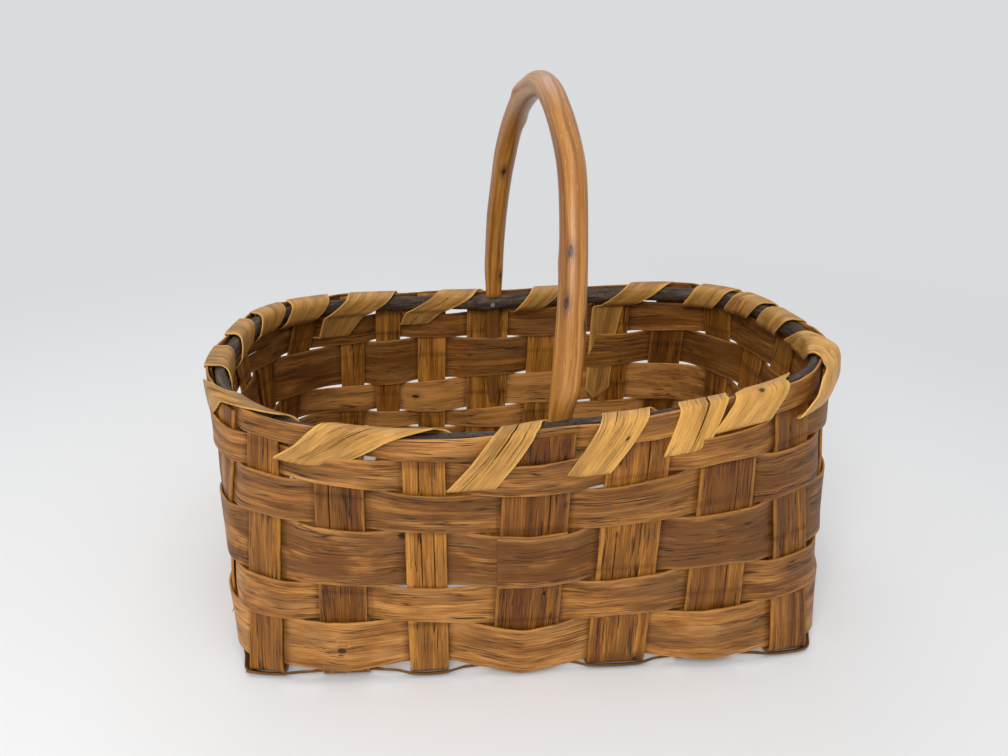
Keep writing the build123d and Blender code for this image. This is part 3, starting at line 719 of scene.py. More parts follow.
# The start and the end of each crack along its splint, its place across it and its gap
splint_cracks = {
    "cross_splint_1": [(-0.40, -0.27, 0.004, 0.0007)],
    "cross_splint_2": [(-0.36, -0.24, -0.006, 0.0006)],
    "cross_splint_3": [(-0.40, -0.19, -0.003, 0.0009), (-0.3, -0.22, 0.006, 0.0005)],
    "cross_splint_4": [(-0.31, -0.22, 0.010, 0.0007)],
    "cross_splint_5": [(-0.40, -0.24, 0.006, 0.0010), (-0.26, -0.2, -0.008, 0.0008)],
    "cross_splint_6": [(-0.32, -0.2, 0.007, 0.0006)],
    "cross_splint_7": [(-0.40, -0.22, -0.002, 0.0010), (-0.3, -0.2, 0.008, 0.0006)],
}
# The tones of each splint, which hold painted light and shade as well as the wood's own tone, the cross
# splints' at the front left, the front right and the back
cross_tones_and_shade = [
    (0.36, 0.36, 0.6), (0.2, 0.2, 0.55), (0.6, 0.6, 0.65), (0.15, 0.15, 0.6), (0.4, 0.4, 0.65), (0.2, 0.2, 0.5),
    (0.3, 0.3, 0.2),
]
long_tones = [0.4, 0.3, 0.6, 0.45, 0.35]


def add_splint(name, node, first, floor_points, floor_widths, last, seed, tones_and_shade):
    lattice, places, width = splint_lattice(first, floor_points, floor_widths, last)
    splint = wood_strip(
        name, lattice, float(width.mean()), splint_thickness, seed, tones_and_shade, splint_grime_and_shade(places, first + 77),
        cracks=splint_cracks.get(node, ()),
    )
    put_in_place(splint, splint_wood, node)


for index in range(cross_count):
    back_number = 2 * cross_count + long_count - 1 - index
    front, back = uprights[index], uprights[back_number]
    floor_points = []
    for upright, place in ((front, cross_front_low[index]), (back, cross_back_low[index])):
        foot = upright.at(0.0, upright.middle)
        floor_points.append([place, foot[1] - upright.side * bend_room, middle_layer])
    add_splint(
        f"floor_splint_{index + 1}", f"cross_splint_{index + 1}", index, floor_points,
        (front.width, back.width), back_number, index + 1, cross_tones_and_shade[index],
    )

for index in range(long_count):
    left_number, right_number = len(uprights) - 1 - index, cross_count + index
    left_y, right_y = long_left_low[index], long_right_low[index]
    floor_points, floor_widths = [], []
    for crossing in range(cross_count):
        for hand in (-1, 1):
            # The splint's slant and the crossing's place depend on each other and soon settle
            y = (left_y + right_y) / 2
            for refinement in range(3):
                over = 0.5 + y / base_width
                half = toward(cross_front_width[crossing], cross_back_width[crossing], over) / 2
                x = toward(cross_front_low[crossing], cross_back_low[crossing], over)
                x += hand * (half + crossing_margin)
                along = 0.5 + (x - base_offset) / base_length
                y = toward(left_y, right_y, along)
            floor_points.append([x, y, layer(index, crossing)])
            floor_widths.append(toward(long_left_width[index], long_right_width[index], along))
    add_splint(
        f"lengthwise_splint_{index + 1}", f"long_splint_{index + 1}", left_number, floor_points, floor_widths,
        right_number, index + 11, [long_tones[index]] * 3,
    )


# Rows of weaving: each is one long splint woven outside one upright and inside the next, right
# round, and lapped over its own start. The narrow top one is covered by the lashing.
rim_band_height = 0.0165
lashing_slot = 0.0026
row_gap = 0.0004
# Where a row's foot or top edge is higher than the rest of it, by angle, in metres
row_foot_shifts = {
    0: [(-180, 0.0), (-141, 0.0045), (-108, 0.0012), (-64, 0.0014), (-40, 0.0), (180, 0.0)],
    1: [
        (-160, 0.002), (-142, 0.0058), (-128.5, 0.0046), (-115.5, 0.0006), (-90.5, -0.0033), (-73.5, -0.0022),
        (-54, 0.0037), (-38, 0.003), (0, 0.0), (36.5, 0.003), (51.5, -0.0015), (96.5, 0.0015), (114.5, 0.002),
        (124.5, 0.0), (142, -0.005),
    ],
    2: [
        (-160, 0.0), (-142, 0.0075), (-128.5, 0.0036), (-115.5, 0.0012), (-93, -0.0062), (-73, -0.0027),
        (-53, 0.0), (-38, 0.004), (0, 0.004), (40.5, 0.009), (51.5, 0.0065), (79.5, 0.004), (97, 0.0024),
        (112.5, -0.0023), (124.5, -0.008), (141.5, -0.010),
    ],
    3: [
        (-160, 0.001), (-142, 0.0035), (-129, 0.003), (-115, 0.0003), (-93, -0.0027), (-74.5, -0.0008),
        (-52.5, 0.0047), (-38, 0.004), (0, 0.0), (40.5, 0.0034), (51.5, 0.0016), (79.5, 0.003), (95, -0.001),
        (113, -0.006), (141, -0.004),
    ],
    4: [
        (-160, 0.002), (-141, 0.0036), (-129, 0.0043), (-115, 0.0022), (-95, -0.0088), (-74, -0.0015),
        (-54, 0.001), (-38, 0.0047), (0, 0.0), (180, 0.0),
    ],
    5: [
        (-160, 0.0), (-129.5, 0.0040), (-110, 0.001), (-95, -0.0044), (-74, 0.0), (-53, -0.0011), (-30, 0.0),
        (160, 0.0),
    ],
}
row_top_shifts = {
    0: [(-180, 0.0), (-141, 0.0010), (-108, -0.0006), (-65, 0.0010), (-40, 0.0), (180, 0.0)],
    1: [
        (-160, 0.002), (-128.5, 0.0042), (-118, 0.0030), (-108, 0.0010), (-90.5, -0.0020), (-73, 0.0014),
        (-54.5, -0.0014), (-40, 0.0), (60, 0.0), (114, -0.004), (160, 0.0),
    ],
}
# The upright that each row starts and ends on
lap_numbers = [8, 13, 20, 3, 16, 9]
weave_air = 0.0003
row_clearance = (splint_thickness + weaver_thickness) / 2 + weave_air
row_swell = 0.0009
bottom_row_swell = 0.0022
bottom_row_sag = 0.0040
row_wander = 0.0005
# How much a row follows the wall itself between two uprights
wall_pull = 2.4
lap_margin = 0.02
lap_ease = 0.014
# About how many metres of the rim there are to a degree
rim_per_degree = 0.0031
# Painted shade in the crevices where an upright covers a row
crevice_shade = 0.6
crevice_width = 0.002


def row_edges(row, angle):
    """Shares of the wall's height at the foot and at the top of a row."""
    toward_back = (1 + np.sin(np.radians(angle))) / 2
    height = wall_point(angle, 1.0)[..., 2]

    def shift_of(shifts, number):
        if number not in shifts:
            return 0.0
        return np.interp(half_turned(angle), *zip(*shifts[number]), period=360) / height

    def foot_of(number):
        level = 1 - rim_band_height / height
        if number > 0:
            level = toward(row_foot_front[number], row_foot_back[number], toward_back)
        return level + shift_of(row_foot_shifts, number)

    if row == 0:
        top = np.ones_like(angle)
    elif row == 1:
        top = 1 - (rim_band_height + lashing_slot) / height
    else:
        top = foot_of(row - 1) - row_gap / height
    return foot_of(row), top + shift_of(row_top_shifts, row)


def woven(row, angle, share):
    """Points of a row at angles and shares of the height, woven round the uprights."""
    low, high = [
        np.stack([upright.at(share, upright.edge_angles[hand]) for upright in uprights]) for hand in (-1, 1)
    ]
    turned = half_turned(angle - (low + high) / 2)
    nearest = np.argmin(np.abs(turned), axis=0).ravel()
    low, high, turned = [values.reshape(len(uprights), -1) for values in (low, high, turned)]
    angles, shares, which = angle.ravel(), share.ravel(), np.arange(angle.size)
    half = (high - low)[nearest, which] / 2
    offset_turn = turned[nearest, which]
    swell = row_swell if row < row_count - 1 else bottom_row_swell
    points = np.empty((angles.size, 3))
    for number, upright in enumerate(uprights):
        side = row_side(row, number)
        chosen = (nearest == number) & (np.abs(offset_turn) <= half)
        across = offset_turn[chosen] / half[chosen]
        base, outward = upright.surface(shares[chosen], across * (upright.width / 2 + edge_margin))
        reach = side * (row_clearance + swell * (1 - across**2)) + sway(number, shares[chosen])
        points[chosen] = base + outward * reach[:, None]

        following = (number + 1) % len(uprights)
        ahead = uprights[following]
        chosen = (nearest == number) & (offset_turn > half)
        chosen |= (nearest == following) & (offset_turn < -half)
        here = shares[chosen]
        start = high[number][chosen]
        done = ((angles[chosen] - start) % 360) / ((low[following][chosen] - start) % 360)
        base, along, outward = wall(angles[chosen], here)
        miss = upright.at(here, upright.edge_misses[1]) * (1 - done)[:, None]
        miss = miss + ahead.at(here, ahead.edge_misses[-1]) * done[:, None]
        first = upright.at(here, upright.outward) * ((1 - done) ** 2)[:, None]
        second = ahead.at(here, ahead.outward) * (done**2)[:, None]
        outward = unit(first + second + outward * (wall_pull * done * (1 - done))[:, None])
        start_reach = side * row_clearance + sway(number, here)
        end_reach = row_side(row, following) * row_clearance + sway(following, here)
        reach = toward(start_reach, end_reach, smooth_step(done))
        points[chosen] = base + miss + outward * reach[:, None]
    return points.reshape(*angle.shape, 3)


def row_lattice(row):
    """The points of a row, clockwise from its lap, its mean width and its dirt with painted shade on each face.
    """
    start = uprights[lap_numbers[row]]
    middle_share = (row_foot_front[row] + ([1.0] + row_foot_front)[row]) / 2
    first = start.at(middle_share, start.edge_angles[1])
    # The rim band's ends don't lap: it stops just short of its start
    last = start.at(middle_share, start.edge_angles[-1]) - 360 if row else first - 359.6
    fine = np.linspace(first, last, 4000)
    run = run_along(wall_point(fine, middle_share))
    places = even_places(run, lattice_step)
    angles = np.interp(places, run, fine)
    foot, top = row_edges(row, angles)
    height = wall_point(angles, 1.0)[:, 2]
    if row == row_count - 1:
        hang = np.array([max(0.0, row_side(row, number)) for number in range(len(uprights))])
        centres = np.array([half_turned(upright.at(0.1, upright.angles)) for upright in uprights])
        order = np.argsort(centres)
        hanging = np.interp(half_turned(angles), centres[order], hang[order], period=360)
        foot -= bottom_row_sag / height * hanging
    foot += row_wander / height * wander(places, 0.05, row + 300)
    top += row_wander / height * wander(places, 0.05, row + 310)
    across = np.linspace(0, 1, columns_across)
    shares = foot[:, None] + (top - foot)[:, None] * across
    points = eased(woven(row, np.repeat(angles[:, None], columns_across, axis=1), shares), 1.6)
    flare = row_wander * wander(places, 0.04, row + 320)[:, None] * (2 * across - 1) ** 2
    if row:
        lapped = smooth_step(np.clip((places - (run[-1] - start.width - lap_margin)) / lap_ease, 0, 1))
        flare = flare + (weaver_thickness + weave_gap) * lapped[:, None]
    points = points + wall(angles, middle_share)[2][:, None] * flare[..., None]
    dirt_and_shade = np.full(shares.shape, 0.08) + 0.1 * wander(places, 0.04, row + 330)[:, None]
    inner_dirt_and_shade = dirt_and_shade.copy()
    # Painted shade in the crevice along each edge of an upright, on the face of the row that lies against it
    for number, upright in enumerate(uprights):
        covered_side = inner_dirt_and_shade if row_side(row, number) > 0 else dirt_and_shade
        for hand in (-1, 1):
            edge = upright.at(shares, upright.edge_angles[hand])
            away = half_turned(angles[:, None] - edge) * rim_per_degree
            covered_side += crevice_shade * np.exp(-((away / crevice_width) ** 2))
    return points, float(((top - foot) * height).mean()), np.clip(dirt_and_shade, 0, 1), np.clip(inner_dirt_and_shade, 0, 1)


weaver_wood = split_wood(
    "aged weaver wood", (0.60, 0.275, 0.07), (0.365, 0.143, 0.024), (0.145, 0.047, 0.004),
    (0.195, 0.085, 0.022), 1.0, 1.3,
    [
        (57.2027, 12.5951, 0.0032), (60.9836, 13.318, 0.0026), (55.6167, 12.218, 0.0026),
        (57.705, 12.581, 0.0034),
    ],
)
row_cracks = {
    1: [(0.20, 0.32, 0.002, 0.0006)],
    5: [(0.15, 0.36, 0.006, 0.0008), (-0.1, 0.02, -0.005, 0.0006)],
}
# Each row's tones at the front left, the front right and the back hold painted shade at the front right and
# painted light and shade at the back
row_tones_and_shade = [
    (0.45, 0.4, 0.1), (0.5, 0.2, 0.25), (0.34, 0.22, 0.2), (0.25, -0.1, 0.75), (0.55, 0.3, 0.75),
    (0.65, 0.42, 0.6),
]
for row in range(row_count):
    lattice, width, dirt_and_shade, inner_dirt_and_shade = row_lattice(row)
    piece = wood_strip(
        f"row_{row}", lattice, width, weaver_thickness, row + 31, row_tones_and_shade[row], dirt_and_shade, inner_dirt_and_shade,
        row_cracks.get(row, ()), ragged=0.0006,
    )
    put_in_place(piece, weaver_wood, f"weaver_{row}" if row else "rim_band")


# Base weaver: a narrow splint woven round the edge of the floor on the bends of the splints,
# under those that the bottom row goes inside. It keeps the bends from spreading.
base_weaver_width = 0.0055
base_weaver_swell = 0.0007
# How many degrees below level it faces: under a bend at the front or back, under one at an end
# and inside a bend
under_turn = 52.0
under_end_turn = 24.0
inner_turn = 66.0
inner_air = 0.0009
# Between two uprights: the height it is placed from, how far from there it lies, and how far out
# and down it faces
between_height = 0.0085
between_reach = 0.0047
between_way = (0.75, 0.66)


def base_weaver_lattice():
    """The points of the base weaver, anticlockwise round the bends."""
    stations = []
    thick = (splint_thickness + weaver_thickness) / 2
    for turn in range(len(uprights) + 1):
        number = turn % len(uprights)
        upright = uprights[number]
        if upright.across:
            floor_height = middle_layer
        elif number < cross_count + long_count:
            floor_height = layer(number - cross_count, cross_count - 1)
        else:
            floor_height = layer(len(uprights) - 1 - number, 0)
        height = floor_height + floor_bend
        if number % 2 == 0:
            down = under_turn if upright.across else under_end_turn
            reach, swell = floor_bend + thick + weave_air, base_weaver_swell
        else:
            down = inner_turn
            reach, swell = floor_bend - thick - inner_air, 0.0
        point, leg_way = upright.surface(height / wall_height, 0.0)
        centre = point * in_plan + up * height - upright.leaving * floor_bend
        facing = unit(toward(unit(leg_way * in_plan), upright.leaving, down / 90))
        beside = np.cross(up, facing)
        way = facing * math.cos(math.radians(down)) - up * math.sin(math.radians(down))
        for share in (-1.0, -0.5, 0.0, 0.5, 1.0):
            aside = beside * (upright.width / 2 + edge_margin) * share
            stations.append([*(centre + aside + way * (reach + swell * (1 - share * share))), *way])
        if turn < len(uprights):
            following = uprights[(number + 1) % len(uprights)]
            foot = floor_bend / wall_height
            first = upright.at(foot, upright.edge_angles[1])
            room = (following.at(foot, following.edge_angles[-1]) - first) % 360
            for share in (0.3, 0.5, 0.7):
                base, along, outward = wall(first + room * share, foot)
                facing = unit(outward * in_plan)
                way = unit(facing * between_way[0] - up * between_way[1])
                place = base * in_plan + up * between_height - facing * floor_bend + way * between_reach
                stations.append([*place, *way])
    stations = np.array(stations)
    run = run_along(stations[:, :3])
    points, ways = np.split(read_at(even_places(run, lattice_step), run, stations), 2, axis=1)
    points, ways = eased(points, 2.5), unit(eased(unit(ways), 4.0))
    across = unit(np.cross(ways, unit(np.gradient(points, axis=0))))
    aside = np.linspace(-0.5, 0.5, 7) * base_weaver_width
    return points[:, None] + across[:, None] * aside[None, :, None]


base_weaver = wood_strip(
    "base_weaver_strip", base_weaver_lattice(), base_weaver_width, weaver_thickness, 47, (0.1, 0.1, 0.1),
    np.full((3, 3), 0.85),
)
put_in_place(base_weaver, weaver_wood, "base_weaver")


# Inner rim: a sapling split down its middle with the bark left on, bent round inside the rim
# with its flat face outwards. Its two ends meet at the front left.
inner_rim_height = 0.0135
inner_rim_thickness = 0.0085
inner_rim_drop = 0.0012
inner_rim_start = -142.0
inner_rim_around = 24
inner_rim_knots = (0.19, 0.42, 0.66, 0.83, 1.05, 1.27)
knot_growth = 0.13
knot_length = 0.007
bark_roughness = 0.00025
# The rim's section is an ellipse whose outer side swells faster and is cut flat at this share
outer_swell = 1.6
outer_flat = 0.9
band_inner_face = splint_thickness / 2 + weaver_thickness + 2 * weave_gap
tail_thickness = 0.005
tail_width = 0.014
handle_front_x = 0.012
handle_back_x = -0.007
# The inner rim swings in round the handle's legs: how long it stays in and how long it takes
bulge_flat = 0.006
bulge_reach = 0.034
bar_step = 0.0025


def rounded_bar(name, lattice, seed, around):
    """A closed bar bent over a lattice of points whose two long edges meet."""
    length, girth = float(run_along(lattice[:, 0])[-1]), float(run_along(lattice[len(lattice) // 2])[-1])
    bar = grain_grid(name, length, girth, round(length / bar_step), around, seed)
    flat = read_out(bar.data.vertices, "co", 3)
    bent = sampled(lattice, flat[:, 0] / length + 0.5, flat[:, 1] / girth + 0.5)
    bar.data.vertices.foreach_set("co", bent.ravel())
    bpy.ops.object.mode_set(mode="EDIT")
    bpy.ops.mesh.select_all(action="SELECT")
    bpy.ops.mesh.remove_doubles(threshold=0.00001)
    bpy.ops.mesh.select_all(action="DESELECT")
    bpy.ops.mesh.select_mode(type="EDGE")
    bpy.ops.mesh.select_non_manifold()
    bpy.ops.mesh.edge_face_add()
    bpy.ops.mesh.select_all(action="SELECT")
    bpy.ops.mesh.normals_make_consistent(inside=False)
    bpy.ops.object.mode_set(mode="OBJECT")
    bpy.ops.object.shade_smooth_by_angle(angle=math.radians(50))
    return bar


def leg_bulge(points):
    """How far the inner rim stands in beside a leg of the handle, falling to 0 along the rim."""
    leg = np.where(points[..., 1] < 0, handle_front_x, handle_back_x)
    beside = np.clip((np.abs(points[..., 0] - leg) - tail_width / 2 - bulge_flat) / bulge_reach, 0, 1)
    return (tail_thickness + weave_gap) * smooth_step(1 - beside)


def inner_rim_lattice():
    """The points of the inner rim: rings with a round inner side and a flat outer one."""
    angles = np.linspace(inner_rim_start + 0.2, inner_rim_start + 359.8, 1100)
    top, along, outward = wall(angles, 1.0)
    upward = np.cross(outward, along)
    run = run_along(top)
    girth = 1 + 0.06 * wander(run, 0.06, 501) + 0.05 * wander(run, 0.013, 502)
    for knot in inner_rim_knots:
        girth = girth + knot_growth * np.exp(-(((run - knot) / knot_length) ** 2))
    turns = np.linspace(0, 2 * math.pi, inner_rim_around + 1)
    out = np.cos(turns)
    out = np.where(out > 0, np.minimum(out * outer_swell, outer_flat), out)
    drop = inner_rim_drop + inner_rim_height / 2 + 0.0008 * wander(run, 0.08, 503)
    centre = top - outward * (band_inner_face + leg_bulge(top) + inner_rim_thickness / 2)[:, None]
    centre = centre - upward * drop[:, None]
    rough = [bark_roughness * wander(run, 0.004, 520 + line) for line in range(inner_rim_around)]
    rough = np.stack([*rough, rough[0]], -1)
    size_out = (inner_rim_thickness / 2 * girth)[:, None] * out + rough * np.minimum(1, 1 - out)
    size_up = (inner_rim_height / 2 * girth)[:, None] * np.sin(turns)
    return centre[:, None] + outward[:, None] * size_out[..., None] + upward[:, None] * size_up[..., None]


def sapling_bark(name):
    """Grey-brown bark with long ridges, pale scuffs and small dark warts."""
    finish = WoodFinish(name)
    ridge = finish.grain(0.022, 0.0022, 2.0, 4.0, 0.65)
    patch = finish.grain(0.05, 0.012, 9.0, 3.0)
    wart = finish.spots(0.006, 0.004).rise(0.22, 0.05)
    shade = ridge * 0.55 + patch * 0.45
    color = finish.shaded(shade, (0.012, 0.006, 0.003), (0.055, 0.03, 0.016), (0.15, 0.10, 0.06), 0.14)
    color = finish.blend(patch.rise(0.56, 0.7) * 0.5, color, (0.13, 0.11, 0.09))
    color = finish.blend(wart * 0.6, color, (0.02, 0.013, 0.01))
    return finish.finished(color, 0.62 + 0.2 * ridge, ridge + wart * 0.3, 0.0016)


inner_rim = rounded_bar("split_sapling", inner_rim_lattice(), 61, inner_rim_around)
put_in_place(inner_rim, sapling_bark("sapling bark"), "inner_rim")


# Handle: a peeled stick bent to an arch. Each end is shaved to a thin tail, which is pushed
# down inside the wall between the uprights and the second row.
handle_radius = 0.009
handle_rise = 0.195
handle_side_radius = 0.260
handle_spring = 0.1775
handle_around = 32
handle_step = 0.002
# Near its feet the stick is shaved to these half sizes, over a length
shaved_length = 0.034
shaved_wide = 0.0074
shaved_thick = 0.0032
tail_thin = 0.002
tail_tip_width = 0.008
slot_face = splint_thickness / 2 + weave_gap
# How far the arch wanders aside and outwards, and how far it leans aside at shares of its length
handle_wander_aside = 0.0016
handle_wander_out = 0.0014
handle_lean_at = [0.0, 0.12, 0.3, 0.5, 0.68, 0.85, 1.0]
handle_lean_by = [0.0, 0.004, 0.009, 0.008, 0.003, 0.0, 0.0]
# Each knot is a share of the length, a turn round the stick and a height
handle_knots = [
    (0.21, 0.6, 0.0011), (0.27, 2.4, 0.0009), (0.36, 4.2, 0.0012), (0.43, 1.2, 0.001), (0.55, 3.4, 0.0013),
    (0.60, 0.2, 0.0012), (0.66, 2.0, 0.001), (0.74, 5.0, 0.0012), (0.80, 1.4, 0.0009), (0.17, 5.2, 0.0008),
]
handle_knot_length = 0.008
handle_knot_turn = 0.6


def arch_outline(half_span):
    """One half of the arch, a side on a wide radius that runs into a round crown, as places across
    and up."""
    side_centre = handle_side_radius - half_span
    over = handle_side_radius - handle_rise
    drop = (side_centre**2 + over**2) / (2 * over)
    crown = handle_side_radius - drop
    side_turn = math.acos(side_centre / drop)
    turn = np.linspace(0, side_turn, 90)
    side = np.stack([side_centre - handle_side_radius * np.cos(turn), handle_side_radius * np.sin(turn)], -1)
    turn = np.linspace(side_turn, math.pi / 2, 60)[1:]
    return np.vstack([side, np.stack([-crown * np.cos(turn), handle_rise - crown + crown * np.sin(turn)], -1)])


def tail_stations(angle, along, feet):
    """Points, ways and half sizes of one tail, from its tip up to the rim."""
    stations = []
    for level, face, thickness, width in (
        (feet[3] + 0.03, slot_face, tail_thin, tail_tip_width * 0.7),
        (feet[3] + 0.06, slot_face, tail_thin, tail_tip_width),
        (feet[2], slot_face, tail_thin, tail_width - 0.001),
        (feet[1] - 0.004, slot_face, tail_thin, tail_width),
        (0.90, band_inner_face, tail_thickness, tail_width),
        (0.96, band_inner_face, tail_thickness, tail_width),
    ):
        point, _, outward = wall(angle, level)
        point = point - outward * (face + thickness / 2)
        stations.append([*point, *along, *outward, width / 2, thickness / 2])
    return np.array(stations)


def handle_lattice():
    """The points of the handle, from the tip of its front tail over the arch to the back one."""
    front_angle, back_angle = angle_at(True, -1, handle_front_x, 1.0), angle_at(True, 1, handle_back_x, 1.0)
    (front_top, front_along, _), (back_top, back_along, _) = wall(front_angle, 1.0), wall(back_angle, 1.0)
    span = back_top - front_top
    across = unit(span * in_plan)
    half = arch_outline(np.linalg.norm(span) / 2 - band_inner_face - handle_radius)
    outline = np.concatenate([half, (half * [-1, 1])[::-1][1:]])
    middle = (front_top + back_top) / 2 * in_plan + up * handle_spring
    arch = middle + across * outline[:, :1] + up * outline[:, 1:]
    run = run_along(arch)
    beside = np.tile(unit(np.cross(across, up)), (len(arch), 1))
    out = unit(np.cross(unit(np.gradient(arch, axis=0)), beside))
    share = run / run[-1]
    clear_of_feet = np.sin(np.pi * share)[:, None]
    arch = arch + beside * np.interp(share, handle_lean_at, handle_lean_by)[:, None]
    arch = arch + beside * handle_wander_aside * wander(run, 0.07, 602)[:, None] * clear_of_feet
    arch = arch + out * handle_wander_out * wander(run, 0.06, 603)[:, None] * clear_of_feet
    full = smooth_step(np.clip(np.minimum(run, run[-1] - run) / shaved_length, 0, 1))
    thick, wide = toward(shaved_thick, handle_radius, full), toward(shaved_wide, handle_radius, full)
    arch = arch + out * (handle_radius - thick)[:, None]
    girth = 1 + 0.035 * wander(run, 0.05, 604) + 0.02 * wander(run, 0.02, 605)
    stations = np.vstack([
        tail_stations(front_angle, front_along, row_foot_front),
        np.column_stack([arch, beside, out, wide * girth, thick * girth]),
        tail_stations(back_angle, -back_along, row_foot_back)[::-1],
    ])

    run = run_along(stations[:, :3])
    places = even_places(run, handle_step)
    points, beside, out, sizes = np.split(read_at(places, run, stations), [3, 6, 9], axis=1)
    points, sizes = eased(points, 1.5), eased(sizes, 1.5)
    beside, out = unit(beside), unit(eased(out, 2.0))
    turns = np.linspace(0, 2 * math.pi, handle_around + 1)
    bump = np.zeros((len(places), len(turns)))
    for at, around, size in handle_knots:
        away = (places[:, None] - at * run[-1]) / handle_knot_length
        aside = ((turns[None] - around + math.pi) % (2 * math.pi) - math.pi) / handle_knot_turn
        bump += size * np.exp(-(away**2) - aside**2)
    ring = points[:, None] + beside[:, None] * ((sizes[:, :1] + bump) * np.cos(turns))[..., None]
    return ring + out[:, None] * ((sizes[:, 1:] + bump) * np.sin(turns))[..., None]


def peeled_stick(name):
    """Peeled wood under old varnish: fine long grain, brown knots, scuffs and a golden shine."""
    finish = WoodFinish(name, Coat_Roughness=0.25, Specular_IOR_Level=0.35)
    finish.v = finish.v + (finish.grain(0.03, 0.012, 3.0, 1.0) - 0.5) * 0.003
    band = finish.grain(0.16, 0.006, 1.0, 2.0)
    streak = finish.grain(0.05, 0.0014, 7.0, 3.0)
    fibre = finish.grain(0.012, 0.0004, 11.0, 2.0, 0.7)
    knot = finish.spots(0.05, 0.02, 5.0)
    mark = finish.node("ShaderNodeSeparateColor", {}, {0: knot.other_output(1)}).rise(0.5, 0.52)
    knot = knot + (finish.grain(0.006, 0.003, 31.0, 2.0) - 0.5) * 0.08
    ring, core = knot.rise(0.24, 0.08) * mark, knot.rise(0.09, 0.05) * mark
    scuff = finish.grain(0.008, 0.0012, 41.0, 2.0).rise(0.66, 0.72)
    # Below the rim, where its tails are pushed into the wall, the stick is painted darker: painted shade
    height = finish.node("ShaderNodeSeparateXYZ", {}, {0: finish.node("ShaderNodeTexCoord", output=3)}, 2)
    shade = band * 0.55 + streak * 0.3 + fibre * 0.15
    color = finish.shaded(shade, (0.17, 0.052, 0.008), (0.38, 0.148, 0.022), (0.58, 0.28, 0.065), 0.14)
    for share, over in (
        (ring * 0.6, (0.13, 0.045, 0.01)),
        (core * 0.9, (0.03, 0.012, 0.005)),
        (scuff * 0.5, (0.62, 0.40, 0.2)),
        (height.rise(0.175, 0.16) * 0.7, (0.085, 0.03, 0.006)),
    ):
        color = finish.blend(share, color, over)
    finish.join(0.3 - 0.2 * scuff, finish.shader.inputs["Coat Weight"])
    relief = streak * 0.5 + fibre * 0.3 - core * 0.8
    return finish.finished(color, 0.42 - 0.12 * band + 0.2 * scuff, relief, 0.0004)


handle = rounded_bar("bentwood_handle", handle_lattice(), 71, handle_around)
put_in_place(handle, peeled_stick("peeled stick"), "handle")


# Nails: one at each leg, driven through the inner rim, the tail, the band and the upright, with
# a small flat head. They keep the shape of the solids and get dull steel.
def dull_steel(name):
    finish = Finish(name, Metallic=0.9)
    place = finish.node("ShaderNodeTexCoord", output=3)
    spots = finish.node("ShaderNodeTexNoise", {}, {"Vector": place, "Scale": 1400.0, "Detail": 3.0})
    color = finish.blend(spots.rise(0.4, 0.62), (0.62, 0.60, 0.56), (0.33, 0.29, 0.25))
    return finish.finished(color, 0.35 + 0.3 * spots, spots, 0.0001)


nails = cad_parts["handle_nails"]
nails.data.materials.clear()
nails.data.materials.append(dull_steel("dull nail steel"))


# Lashing: one long strip of golden inner bark wound over the inner rim and the band. It goes up
# inside, over the rim and down outside, and through the wall below the band or below row 1.
lashing_thickness = 0.0009
lashing_width = 0.027
lashing_air = 0.0002
lashing_looseness = 0.0006
lashing_step = 0.001
lashing_columns = 13
lashing_tail_upright = 13
rim_radius = 0.178
pinched_least = 0.006
pinched_most = 0.014
gap_margin = 0.003
gap_share = 0.9
# How far out of the wall's middle the strip lies on the band, before it is fitted to what it
# covers. That is read at a share of the wall's height, in steps of an angle, and the strip bridges
# hollows of this many steps to each side.
band_reach = 0.0043
cover_share = 0.95
cover_step = 0.25
bridged_steps = 14
# For each gap between uprights that it goes through: how deep, how far along its way it crosses
# the rim, and its width along the rim at the rim and at the gap outside. Where a wrap isn't as
# even_wrap says, how many degrees its foot and its crossing lie aside of their places, its lift
# off the rim, how far it stands off and how far along to its foot it turns down. Depths, widths,
# lifts and how far a wrap stands off are in millimetres.
even_wrap = (0, 0, 1.2, 0, 0.15)
lashing_wraps = [
    (11, 21, 0.50, 31, 27), (10, 21, 0.50, 30, 27), (9, 21, 0.48, 31, 27), (8, 21, 0.50, 30, 26),
    (6, 24, 0.50, 40, 34, -1.6, -1.5, 1.8, 6.5, 0.5), (5, 19, 0.80, 34, 33, -5.2, -3.2, 1.6, 0, 0.15),
    (4, 28, 0.80, 30, 27, -0.5, 0, 1.4, 0, 0.15), (3, 33, 0.63, 31, 30, -0.8, 0, 1.8, 1.6, 0.15),
    (2, 35, 0.62, 28, 31, -1.0, 0, 1.8, 2.4, 0.15), (0, 24, 0.53, 54, 28, 1.0, 0, 4.2, 2.0, 0.36),
    (22, 22, 0.40, 40, 24, 0, 0, 2.6, 0.6, 0.6), (21, 21, 0.50, 31, 27), (20, 21, 0.50, 31, 27),
    (19, 22, 0.50, 30, 26), (18, 41, 0.48, 33, 29, 0, 0, 1.4, 2.0, 0.15),
    (16, 32, 0.50, 38, 31, 0, 0, 1.2, 0.8, 0.15), (14, 22, 0.42, 40, 30), (13, 21, 0.50, 32, 28),
]


